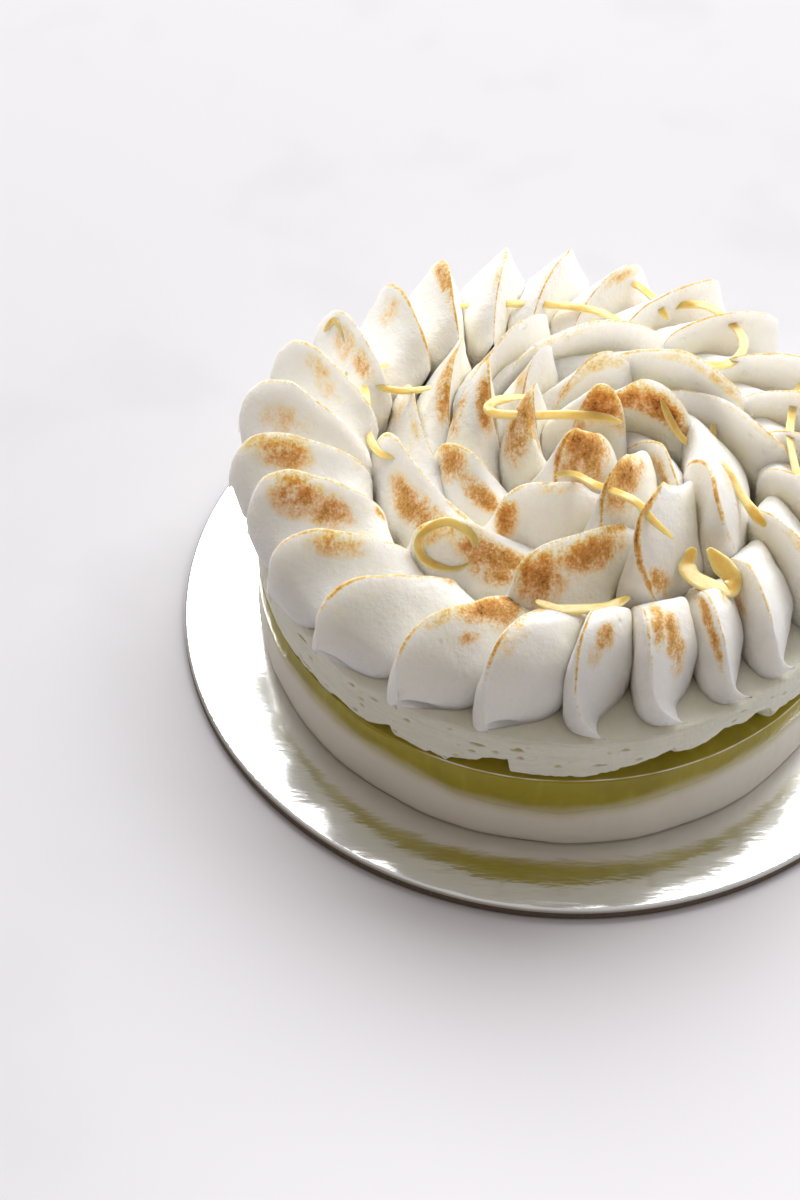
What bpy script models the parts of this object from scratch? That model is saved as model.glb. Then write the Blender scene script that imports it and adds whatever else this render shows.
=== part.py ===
"""Layered lemon cream cake on its silver card, under four rings of torched meringue fins.

Metres, +Z up. The origin is the middle of the card's underside, which rests on the table.
From the bottom up: card, white cream, lemon jelly, lemon mousse, meringue fins, strips of
candied zest. Every fin and every strip is a solid of its own.
"""
import math

import bmesh
import bpy
from mathutils import Vector
from mathutils.bvhtree import BVHTree

# ---- driving dimensions, metres and degrees ----
GAP = 0.0003                    # clearance between pieces that touch
CARD_RADIUS = 0.1016            # an 8 inch card
CARD_THICKNESS = 0.003
CAKE_RADIUS = 0.0791            # a 16 cm ring, as it comes out of the mould
CAKE_CENTRE = (-0.0018, 0.0003)
CREAM_TOP = 0.0160              # heights above the card's top face
CREAM_DIP = 0.0054              # the jelly reaches this much lower at the front
CREAM_DIP_TURN = 266.0
CREAM_DIP_SPREAD = 24.0
JELLY_TOP = 0.0232
MOUSSE_TOP = 0.0384
WALL_BULGE = 0.0007
RIM_ROUND = 0.0012
LAYER_STEPS = 72
LAYER_SEAT = 0.010              # how far in from the wall the layers lie flat on each other
FOOT_ROUND = 0.0008             # rounding of the cream's foot
SMOOTH_BELOW = 40.0             # degrees between faces that still look smooth
CAST_FROM = 0.2                 # a height well above the cake

# The mousse's lower edge is broken away at the front: how high, by turn around the cake.
CHIPS = [(228.0, 0.0), (234.0, 0.0018), (237.0, 0.0036), (239.0, 0.0008), (247.0, 0.0), (250.0, 0.0020),
         (255.0, 0.0040), (259.5, 0.0064), (261.0, 0.0014), (276.0, 0.0018), (282.0, 0.0046),
         (289.0, 0.0076), (290.5, 0.0058), (296.0, 0.0064), (299.5, 0.0096), (304.0, 0.0076),
         (307.0, 0.0086), (309.5, 0.0066), (310.5, 0.0028), (315.0, 0.0034), (320.0, 0.0016), (328.0, 0.0)]
CHIP_DEPTH = 1.05               # depth of a chip for its height
FOOT_SPREAD = 0.0022            # the soft cream has sagged outward this much at the front
FOOT_SPREAD_TURN = 274.0
FOOT_SPREAD_WIDTH = 42.0

# A ring of fins: its name, the fins' heel radius, how far the noses hook back against the swirl, and
# its fins. Each fin was piped by hand, so each has its own row: the turn of its nose, its nose's
# radius, the height of its crest above the mousse, its swirl from nose to heel, and how far its
# front foot falls back from the nose.
RINGS = [
    ("outer", 0.0490, 2.0, [
        (12.9, 0.0815, 0.0245, 14.0, 0.0025), (28.0, 0.0812, 0.0240, 14.0, 0.0025),
        (44.0, 0.0820, 0.0250, 15.0, 0.0025), (59.0, 0.0850, 0.0235, 14.0, 0.0025),
        (74.5, 0.0840, 0.0240, 13.0, 0.0025), (89.0, 0.0845, 0.0235, 12.0, 0.0025),
        (102.0, 0.0840, 0.0250, 11.0, 0.0025), (116.0, 0.0835, 0.0258, 9.0, 0.0025),
        (128.5, 0.0838, 0.0252, 8.0, 0.0025), (142.5, 0.0842, 0.0260, 14.0, 0.0025),
        (154.0, 0.0865, 0.0252, 14.0, 0.0025), (166.0, 0.0877, 0.0258, 17.0, 0.0025),
        (179.0, 0.0865, 0.0225, 9.0, 0.0025), (190.5, 0.0822, 0.0247, 16.0, 0.0010),
        (205.5, 0.0815, 0.0210, 16.5, 0.0015), (221.5, 0.0800, 0.0212, 17.5, 0.0035),
        (240.0, 0.0812, 0.0236, 16.5, 0.0055), (256.0, 0.0812, 0.0262, 12.0, 0.0055),
        (271.5, 0.0805, 0.0255, 8.0, 0.0080), (286.0, 0.0798, 0.0262, 3.5, 0.0070),
        (302.0, 0.0796, 0.0222, 6.0, 0.0060), (312.5, 0.0792, 0.0245, 10.0, 0.0050),
        (327.6, 0.0800, 0.0240, 13.0, 0.0050), (342.7, 0.0808, 0.0250, 14.0, 0.0040),
        (357.8, 0.0812, 0.0240, 14.0, 0.0025)]),
    ("second", 0.0300, 4.0, [
        (4.0, 0.0480, 0.0270, 45.0, 0.0015), (24.0, 0.0480, 0.0305, 58.0, 0.0015),
        (60.0, 0.0480, 0.0280, 68.0, 0.0015), (98.0, 0.0480, 0.0270, 46.0, 0.0015),
        (127.0, 0.0480, 0.0250, 38.0, 0.0015), (152.0, 0.0480, 0.0215, 43.0, 0.0015),
        (175.0, 0.0470, 0.0215, 54.0, 0.0015), (222.5, 0.0480, 0.0260, 39.0, 0.0015),
        (258.0, 0.0480, 0.0328, 45.0, 0.0015), (290.0, 0.0475, 0.0395, 31.0, 0.0015),
        (323.0, 0.0480, 0.0330, 28.0, 0.0015)]),
    ("third", 0.0150, 5.0, [
        (20.0, 0.0290, 0.0325, 52.0, 0.0015), (62.0, 0.0290, 0.0310, 45.0, 0.0015),
        (100.0, 0.0288, 0.0315, 42.0, 0.0015), (136.0, 0.0290, 0.0325, 40.0, 0.0015),
        (184.0, 0.0290, 0.0235, 46.0, 0.0015), (241.0, 0.0290, 0.0325, 55.0, 0.0015),
        (286.0, 0.0290, 0.0390, 46.0, 0.0015), (335.0, 0.0290, 0.0270, 50.0, 0.0015)]),
    ("heart", 0.0030, 6.0, [
        (30.0, 0.0138, 0.0360, 50.0, 0.0010), (140.0, 0.0138, 0.0350, 50.0, 0.0010),
        (263.5, 0.0138, 0.0385, 50.0, 0.0010)]),
]

# A fin's side profile from nose (0) to heel (1): share of its length, and share of its crest.
CREST_LINE = [(0.0, 0.0, 0.20), (0.1, 0.01, 0.40), (0.22, 0.10, 0.70), (0.4, 0.30, 0.93),
              (0.6, 0.55, 1.0), (0.8, 0.78, 0.93), (0.93, 0.93, 0.82), (1.0, 1.0, 0.55)]
FOOT_LINE = [(0.0, 0.0, 0.04), (0.06, 0.07, 0.02), (0.15, 0.20, 0.0), (0.5, 0.50, 0.0), (1.0, 0.98, 0.0)]
FIN_SECTIONS = (0.0, 0.08, 0.2, 0.4, 0.6, 0.85, 1.0)
# From nose to heel: how high the valley between two fins is filled, as a share of the crest.
VALLEY = [(0.0, 0.0), (0.08, 0.0), (0.4, 0.48), (1.0, 0.48)]
# A fin's faces, by share of the height above the valley. The front runs from its ridge towards the
# next fin's back, and the back from its ridge towards the fin before.
FACES = [(0.0, 0.90, 0.85), (0.08, 0.86, 0.80), (0.32, 0.60, 0.52), (0.70, 0.26, 0.20), (1.0, 0.04, 0.0)]
BACK_SHARE = 0.13               # share of the space between two ridges that the next fin's back takes
BREADTH = [(0.0, 0.18), (0.08, 0.60), (0.2, 0.90), (0.4, 0.97), (0.8, 0.97), (1.0, 0.5)]
# From nose to heel: the share of its hook and of its swirl that a ridge has made.
HOOK_LINE = [(0.0, 0.0), (0.05, 0.7), (0.16, 1.0), (1.0, 1.0)]
SWIRL_LINE = [(0.0, 0.0), (0.10, 0.0), (0.30, 0.06), (0.55, 0.33), (0.78, 0.66), (1.0, 1.0)]

# Candied zest: name and the places (x, y) that a strip passes, from the cake's middle.
STRIP_WIDTH = 0.0026
STRIP_THICKNESS = 0.0010
STRIP_CLEARANCE = 1.3           # how far round a strip the meringue is felt for, in widths
STRIP_STEPS = 12
STRIPS = [
    ("zest_ring", [(-0.026, -0.039), (-0.023, -0.036), (-0.024, -0.031), (-0.029, -0.029), (-0.035, -0.030),
                   (-0.037, -0.034), (-0.034, -0.038), (-0.030, -0.039)]),
    ("zest_long", [(-0.008, 0.014), (-0.015, 0.012), (-0.019, 0.008), (-0.017, 0.004), (0.000, 0.004),
                   (0.014, 0.003)]),
    ("zest_slim", [(-0.003, -0.016), (0.006, -0.023), (0.015, -0.030), (0.024, -0.035)]),
    ("zest_front", [(-0.009, -0.051), (-0.003, -0.052), (0.006, -0.051), (0.014, -0.046)]),
    ("zest_fold", [(0.032, -0.033), (0.029, -0.037), (0.032, -0.042), (0.038, -0.043), (0.041, -0.039),
                   (0.037, -0.033)]),
    ("zest_side", [(0.038, -0.006), (0.042, -0.012), (0.049, -0.023)]),
    ("zest_right", [(0.063, 0.031), (0.059, 0.018), (0.057, 0.005), (0.059, -0.012)]),
    ("zest_back", [(-0.028, 0.060), (-0.010, 0.057), (0.006, 0.052), (0.016, 0.045)]),
    ("zest_loop", [(0.028, 0.057), (0.036, 0.057), (0.043, 0.052), (0.048, 0.044), (0.047, 0.036),
                   (0.042, 0.031), (0.034, 0.028)]),
]

MERINGUE = ((0.93, 0.90, 0.85), 0.55)
MOUSSE = ((0.86, 0.86, 0.78), 0.6)
CREAM = ((0.86, 0.83, 0.80), 0.55)
JELLY = ((0.46, 0.46, 0.12), 0.25)
ZEST = ((0.86, 0.66, 0.20), 0.3)
FOIL = ((0.82, 0.82, 0.82), 0.15)


def clear_scene():
    for thing in list(bpy.data.objects):
        bpy.data.objects.remove(thing, do_unlink=True)


def make_material(name, look, metallic=0.0):
    colour, roughness = look
    material = bpy.data.materials.new(name)
    material.use_nodes = True
    shader = material.node_tree.nodes["Principled BSDF"]
    shader.inputs["Base Color"].default_value = (*colour, 1.0)
    shader.inputs["Roughness"].default_value = roughness
    shader.inputs["Metallic"].default_value = metallic
    return material


def add_object(name, mesh, material, collection):
    mesh.materials.append(material)
    thing = bpy.data.objects.new(name, mesh)
    collection.objects.link(thing)
    return thing


def along(line, share, column=1):
    """Read a line of control points at a share of its length, straight between the points."""
    share = max(share, line[0][0])
    for before, after in zip(line, line[1:]):
        if share <= after[0]:
            step = (share - before[0]) / (after[0] - before[0])
            return before[column] + (after[column] - before[column]) * step
    return line[-1][column]


def polar(radius, turn, height):
    angle = math.radians(turn)
    return Vector((CAKE_CENTRE[0] + radius * math.cos(angle), CAKE_CENTRE[1] + radius * math.sin(angle),
                   CARD_THICKNESS + height))


def angle_apart(turn, other):
    return abs((turn - other + 180.0) % 360.0 - 180.0)


def loft(sections):
    """Skin a row of sections and close its two ends."""
    shape = bmesh.new()
    rows = [[shape.verts.new(point) for point in section] for section in sections]
    for row, following in zip(rows, rows[1:]):
        for i, corner in enumerate(row):
            j = (i + 1) % len(row)
            shape.faces.new((corner, row[j], following[j], following[i]))
    shape.faces.new(reversed(rows[0]))
    shape.faces.new(rows[-1])
    return shape


def finish_mesh(shape, name):
    bmesh.ops.triangulate(shape, faces=shape.faces)
    bmesh.ops.recalc_face_normals(shape, faces=shape.faces)
    mesh = bpy.data.meshes.new(name)
    shape.to_mesh(mesh)
    shape.free()
    mesh.shade_smooth()
    mesh.set_sharp_from_angle(angle=math.radians(SMOOTH_BELOW))
    return mesh


# ---- card and layers ----
def cream_top(turn):
    """The border between cream and jelly dips where the jelly ran deepest."""
    apart = angle_apart(turn, CREAM_DIP_TURN) / CREAM_DIP_SPREAD
    return CREAM_TOP - CREAM_DIP * math.exp(-apart * apart)


def chip_height(turn):
    """How far the mousse's lower edge is broken away."""
    return along(CHIPS, turn)


def build_card(collection):
    bpy.ops.mesh.primitive_cylinder_add(vertices=96, radius=CARD_RADIUS, depth=CARD_THICKNESS,
                                        location=(0.0, 0.0, CARD_THICKNESS / 2.0))
    card = bpy.context.object
    card.name = "cake_card"
    card.data.name = "cake_card"
    for holder in list(card.users_collection):
        holder.objects.unlink(card)
    collection.objects.link(card)
    card.data.materials.append(make_material("foil", FOIL, metallic=1.0))
    card.data.shade_smooth()
    card.data.set_sharp_from_angle(angle=math.radians(SMOOTH_BELOW))
    return card


def build_layer(name, rings_at, look, collection):
    """A round layer whose outline may change around the cake: rings_at(turn) runs from the middle
    of the underside out to the wall and back to the middle of the top."""
    shape = bmesh.new()
    columns = []
    for step in range(LAYER_STEPS):
        turn = 360.0 * step / LAYER_STEPS
        columns.append([shape.verts.new(polar(radius, turn, height)) for radius, height in rings_at(turn)])
    ends = rings_at(0.0)
    under = shape.verts.new(polar(0.0, 0.0, ends[0][1]))
    over = shape.verts.new(polar(0.0, 0.0, ends[-1][1]))
    for step, column in enumerate(columns):
        following = columns[(step + 1) % LAYER_STEPS]
        for row in range(len(column) - 1):
            shape.faces.new((column[row], following[row], following[row + 1], column[row + 1]))
        shape.faces.new((under, following[0], column[0]))
        shape.faces.new((over, column[-1], following[-1]))
    return add_object(name, finish_mesh(shape, name), make_material(name, look), collection)


def cream_outline(turn):
    top = cream_top(turn)
    sag = FOOT_SPREAD * math.exp(-(angle_apart(turn, FOOT_SPREAD_TURN) / FOOT_SPREAD_WIDTH) ** 2)
    return [(CAKE_RADIUS - 0.003, GAP), (CAKE_RADIUS - FOOT_ROUND + sag, GAP + FOOT_ROUND),
            (CAKE_RADIUS + WALL_BULGE + sag * 0.5, top * 0.5), (CAKE_RADIUS, top),
            (CAKE_RADIUS - LAYER_SEAT, CREAM_TOP - CREAM_DIP)]


def jelly_outline(turn):
    bottom = cream_top(turn) + GAP
    return [(CAKE_RADIUS - LAYER_SEAT, CREAM_TOP - CREAM_DIP + GAP), (CAKE_RADIUS, bottom),
            (CAKE_RADIUS + WALL_BULGE * 0.6, (bottom + JELLY_TOP) / 2.0), (CAKE_RADIUS, JELLY_TOP),
            (CAKE_RADIUS - LAYER_SEAT, JELLY_TOP)]


def mousse_outline(turn):
    bottom = JELLY_TOP + GAP
    chip = chip_height(turn)
    edge = CAKE_RADIUS - 0.0004
    middle = (bottom + MOUSSE_TOP + chip) / 2.0
    return [(edge - 0.0005 - chip * CHIP_DEPTH, bottom), (edge - chip * CHIP_DEPTH * 0.5, bottom + chip * 0.6),
            (edge, bottom + 0.0006 + chip), (CAKE_RADIUS + WALL_BULGE * 0.5, middle),
            (CAKE_RADIUS, MOUSSE_TOP - RIM_ROUND), (CAKE_RADIUS - RIM_ROUND, MOUSSE_TOP)]


# ---- meringue fins ----
def ridge_turn(fin, heel, hook, radius):
    """Where a fin's ridge stands at a radius, in degrees."""
    turn, nose, swirl = fin[0], fin[1], fin[3]
    reach = (nose - radius) / (nose - heel)
    return turn - hook * along(HOOK_LINE, reach) + swirl * along(SWIRL_LINE, reach)


def fin_section(before, fin, after, heel, hook, share):
    """One closed section of a fin: up its front face, over the sharp crest and down its back."""
    nose, crest, slant = fin[1], fin[2], fin[4]
    length = nose - heel
    crest_radius = nose - length * along(CREST_LINE, share)
    crest_height = crest * along(CREST_LINE, share, 2)
    foot_radius = nose - length * along(FOOT_LINE, share)
    foot_height = crest * along(FOOT_LINE, share, 2)
    breadth = along(BREADTH, share)
    valley = along(VALLEY, share)
    front = []
    back = []
    for rise, front_place, back_place in FACES:
        if rise > 0.0:
            rise = valley + (1.0 - valley) * rise
        radius = foot_radius + (crest_radius - foot_radius) * rise
        top = MOUSSE_TOP + GAP + foot_height + (crest_height - foot_height) * rise
        near = radius - slant * front_place * (1.0 - share)
        ridge = ridge_turn(fin, heel, hook, near)
        ahead = (1.0 - BACK_SHARE) * ((ridge_turn(after, heel, hook, near) - ridge) % 360.0)
        front.append(polar(near, ridge + ahead * breadth * front_place, top))
        ridge = ridge_turn(fin, heel, hook, radius)
        behind = BACK_SHARE * ((ridge - ridge_turn(before, heel, hook, radius)) % 360.0)
        back.append(polar(radius, ridge - behind * breadth * back_place, top))
    return front + back[::-1]


def build_fins(collection):
    material = make_material("meringue", MERINGUE)
    pieces = []
    for name, heel, hook, fins in RINGS:
        for number, fin in enumerate(fins):
            before = fins[number - 1]
            after = fins[(number + 1) % len(fins)]
            sections = [fin_section(before, fin, after, heel, hook, share) for share in FIN_SECTIONS]
            label = f"meringue_{name}_{number + 1:02d}"
            pieces.append(add_object(label, finish_mesh(loft(sections), label), material, collection))
    return pieces


# ---- candied zest ----
def surface_below(fins):
    """A ray caster over all fins: gives the height of the meringue at x, y."""
    shape = bmesh.new()
    for fin in fins:
        shape.from_mesh(fin.data)
    tree = BVHTree.FromBMesh(shape)
    shape.free()

    def height_at(x, y):
        hit = tree.ray_cast(Vector((x, y, CAST_FROM)), Vector((0.0, 0.0, -1.0)))
        return hit[0].z if hit[0] else CARD_THICKNESS + MOUSSE_TOP

    return height_at


def strip_path(places):
    """Walk along a strip in even steps: x, y and the way ahead at each."""
    path = []
    for number in range(STRIP_STEPS):
        share = number / (STRIP_STEPS - 1) * (len(places) - 1)
        leg = min(int(share), len(places) - 2)
        (x, y), (next_x, next_y) = places[leg], places[leg + 1]
        part = share - leg
        path.append((CAKE_CENTRE[0] + x + (next_x - x) * part, CAKE_CENTRE[1] + y + (next_y - y) * part))
    headings = []
    for number in range(STRIP_STEPS):
        start = path[max(0, number - 1)]
        end = path[min(STRIP_STEPS - 1, number + 1)]
        headings.append(math.atan2(end[1] - start[1], end[0] - start[0]))
    return [(x, y, angle) for (x, y), angle in zip(path, headings)]


def build_zest(fins, collection):
    """Strips lie across the crests: each point is lifted clear of the meringue around it."""
    material = make_material("zest", ZEST)
    height_at = surface_below(fins)
    reach = STRIP_WIDTH * STRIP_CLEARANCE
    strips = []
    for name, places in STRIPS:
        path = strip_path(places)
        floor = []
        for x, y, _ in path:
            around = [(x + reach * i / 4.0, y + reach * j / 4.0) for i in range(-4, 5) for j in range(-4, 5)]
            floor.append(max(height_at(*place) for place in around))
        level = [max(floor[max(0, i - 1):i + 2]) + 2.0 * GAP for i in range(len(floor))]
        sections = []
        for (x, y, angle), bottom in zip(path, level):
            side = Vector((-math.sin(angle), math.cos(angle), 0.0)) * STRIP_WIDTH / 2.0
            low = Vector((x, y, bottom))
            high = low + Vector((0.0, 0.0, STRIP_THICKNESS))
            sections.append([low - side, low + side, high + side, high - side])
        mesh = finish_mesh(loft(sections), name)
        strips.append(add_object(name, mesh, material, collection))
    return strips


def build_cake():
    clear_scene()
    collection = bpy.data.collections.new("lemon_meringue_cake")
    bpy.context.scene.collection.children.link(collection)
    build_card(collection)
    build_layer("bottom_cream", cream_outline, CREAM, collection)
    build_layer("lemon_jelly", jelly_outline, JELLY, collection)
    build_layer("top_mousse", mousse_outline, MOUSSE, collection)
    fins = build_fins(collection)
    build_zest(fins, collection)


build_cake()
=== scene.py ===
"""Looks of a layered lemon cream cake under torched meringue fins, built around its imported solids."""
import math
import random

import bmesh
import bpy
import numpy as np
from bpy.props import FloatProperty, FloatVectorProperty, IntProperty, PointerProperty
from mathutils import Matrix, Vector, noise
from mathutils.bvhtree import BVHTree


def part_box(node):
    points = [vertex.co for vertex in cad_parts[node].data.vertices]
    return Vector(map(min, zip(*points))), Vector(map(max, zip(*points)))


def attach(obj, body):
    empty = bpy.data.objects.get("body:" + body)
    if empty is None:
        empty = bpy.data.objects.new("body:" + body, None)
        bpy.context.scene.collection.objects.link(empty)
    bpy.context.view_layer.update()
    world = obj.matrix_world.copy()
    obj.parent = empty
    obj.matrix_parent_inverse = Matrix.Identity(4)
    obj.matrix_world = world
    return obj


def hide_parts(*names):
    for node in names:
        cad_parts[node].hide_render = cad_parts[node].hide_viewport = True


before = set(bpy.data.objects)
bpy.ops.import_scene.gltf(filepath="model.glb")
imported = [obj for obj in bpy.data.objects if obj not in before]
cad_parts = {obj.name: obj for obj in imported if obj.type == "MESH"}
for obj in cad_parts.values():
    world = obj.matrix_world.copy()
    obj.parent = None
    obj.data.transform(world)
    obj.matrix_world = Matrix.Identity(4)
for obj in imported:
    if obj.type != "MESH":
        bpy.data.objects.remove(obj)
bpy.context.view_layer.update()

bl_info = {
    "name": "Lemon meringue cake",
    "version": (1, 0, 0),
    "blender": (4, 5, 0),
    "location": "View3D > Sidebar > Lemon cake",
    "description": "Builds the layers, meringue fins, candied zest and card of a lemon cream cake",
    "category": "Object",
}

BODY = "root"
MM = 0.001


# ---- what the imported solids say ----
def box_of(node):
    low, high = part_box(node)
    return Vector(low), Vector(high)


def middle_of(node):
    low, high = box_of(node)
    return (low + high) / 2.0


CARD_LOW, CARD_HIGH = box_of("cake_card")
CREAM_LOW, CREAM_HIGH = box_of("bottom_cream")
JELLY_LOW, JELLY_HIGH = box_of("lemon_jelly")
MOUSSE_LOW, MOUSSE_HIGH = box_of("top_mousse")
CAKE = middle_of("bottom_cream")
CAKE_RADIUS = (MOUSSE_HIGH.x - MOUSSE_LOW.x) / 2.0
CARD_RADIUS = (CARD_HIGH.x - CARD_LOW.x) / 2.0
DECK = MOUSSE_HIGH.z
TOUCH = 0.0001

RING_NAMES = ("outer", "second", "third", "heart")


def fin_nodes(ring):
    return sorted(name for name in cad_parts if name.startswith(f"meringue_{ring}_"))


def polar_of(points):
    """Radius, turn in degrees and height of points, about the cake's middle."""
    x = points[:, 0] - CAKE.x
    y = points[:, 1] - CAKE.y
    return np.hypot(x, y), np.degrees(np.arctan2(y, x)) % 360.0, points[:, 2]


def node_points(node):
    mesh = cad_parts[node].data
    points = np.empty(len(mesh.vertices) * 3)
    mesh.vertices.foreach_get("co", points)
    return points.reshape(-1, 3)


def measure_fin(node):
    """Nose and heel radius, crest height, and the ridge's turn at its peak and at its heel."""
    radius, turn, height = polar_of(node_points(node))
    peak = turn[height > height.max() - TOUCH]
    inner = radius < radius.min() + TOUCH
    heel = turn[inner & (height > height[inner].max() - TOUCH)]
    return {"nose": radius.max(), "heel": radius.min(), "crest": height.max() - DECK,
            "peak": first_turn(peak), "end": first_turn(heel)}


def first_turn(turns):
    """The clockwise end of a few neighbouring turns, where a fin has its ridge."""
    apart = (turns - turns[0] + 180.0) % 360.0 - 180.0
    return (turns[0] + apart.min()) % 360.0


# ---- node helpers ----
class Wire:
    """A node's output that can be used in a formula, in a shader or a geometry tree."""

    def __init__(self, tree, socket):
        self.tree = tree
        self.socket = socket

    def apply(self, operation, *others, swap=False, clamp=False):
        node = self.tree.nodes.new("ShaderNodeMath")
        node.operation = operation
        node.use_clamp = clamp
        values = [self, *others]
        if swap:
            values.reverse()
        for slot, value in zip(node.inputs, values):
            plug(self.tree, value, slot)
        return Wire(self.tree, node.outputs[0])

    def __add__(self, other):
        return self.apply("ADD", other)

    def __radd__(self, other):
        return self.apply("ADD", other)

    def __sub__(self, other):
        return self.apply("SUBTRACT", other)

    def __rsub__(self, other):
        return self.apply("SUBTRACT", other, swap=True)

    def __mul__(self, other):
        return self.apply("MULTIPLY", other)

    def __rmul__(self, other):
        return self.apply("MULTIPLY", other)

    def __truediv__(self, other):
        return self.apply("DIVIDE", other)

    def power(self, exponent):
        return self.apply("POWER", exponent)

    def least(self, other):
        return self.apply("MINIMUM", other)

    def most(self, other):
        return self.apply("MAXIMUM", other)

    def between(self, low, high):
        """0 below low, 1 above high, smooth between."""
        node = self.tree.nodes.new("ShaderNodeMapRange")
        node.interpolation_type = "SMOOTHSTEP"
        plug(self.tree, self, node.inputs["Value"])
        plug(self.tree, low, node.inputs["From Min"])
        plug(self.tree, high, node.inputs["From Max"])
        return Wire(self.tree, node.outputs["Result"])

    def through(self, points):
        """Reads a smooth curve through (0..1, 0..1) points."""
        node = self.tree.nodes.new("ShaderNodeFloatCurve")
        line = node.mapping.curves[0]
        while len(line.points) < len(points):
            line.points.new(0.5, 0.5)
        for handle, place in zip(line.points, points):
            handle.location = place
            handle.handle_type = "AUTO_CLAMPED"
        node.mapping.update()
        plug(self.tree, self, node.inputs["Value"])
        return Wire(self.tree, node.outputs["Value"])


def plug(tree, value, slot):
    if isinstance(value, Wire):
        tree.links.new(value.socket, slot)
    else:
        slot.default_value = value


def mix(first, second, share):
    return first + (second - first) * share


class GeometryRule:
    """A geometry tree whose result replaces a seed mesh."""

    def __init__(self, name):
        self.tree = bpy.data.node_groups.new(name, "GeometryNodeTree")
        face = self.tree.interface
        face.new_socket(name="Geometry", in_out="INPUT", socket_type="NodeSocketGeometry")
        face.new_socket(name="Geometry", in_out="OUTPUT", socket_type="NodeSocketGeometry")
        self.entry = self.tree.nodes.new("NodeGroupInput")
        self.way_out = self.tree.nodes.new("NodeGroupOutput")
        self.idents = {}

    def size(self, name, default, kind="NodeSocketFloat"):
        socket = self.tree.interface.new_socket(name=name, in_out="INPUT", socket_type=kind)
        socket.default_value = default
        self.idents[name] = socket.identifier
        return Wire(self.tree, self.entry.outputs[name])

    def node(self, kind, settings=None, **inputs):
        made = self.tree.nodes.new(kind)
        for name, value in (settings or {}).items():
            setattr(made, name, value)
        for name, value in inputs.items():
            plug(self.tree, value, made.inputs[name.replace("_", " ")])
        return made

    def wire(self, node, output=0):
        return Wire(self.tree, node.outputs[output])

    def read(self, attribute):
        return self.wire(self.node("GeometryNodeInputNamedAttribute", {"data_type": "FLOAT"}, Name=attribute))

    def finish(self, geometry, material):
        real = self.node("GeometryNodeRealizeInstances", Geometry=geometry)
        coat = self.node("GeometryNodeSetMaterial", Geometry=self.wire(real), Material=material)
        self.tree.links.new(coat.outputs[0], self.way_out.inputs[0])

    def run(self, seed_object, values, name):
        """Evaluates the tree on an object, and returns the result as a plain mesh object."""
        modifier = seed_object.modifiers.new("rule", "NODES")
        modifier.node_group = self.tree
        for label, value in values.items():
            modifier[self.idents[label]] = value
        graph = bpy.context.evaluated_depsgraph_get()
        mesh = bpy.data.meshes.new_from_object(seed_object.evaluated_get(graph))
        mesh.name = name
        bpy.data.objects.remove(seed_object, do_unlink=True)
        return link_piece(name, mesh)


def link_piece(name, mesh):
    piece = bpy.data.objects.new(name, mesh)
    bpy.context.scene.collection.objects.link(piece)
    return piece


def settle(piece, slot, *nodes):
    """Puts a finished piece on the cake's one body, in place of the solids it stands for."""
    if nodes:
        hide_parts(*nodes)
    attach(piece, BODY)
    return piece


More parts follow.
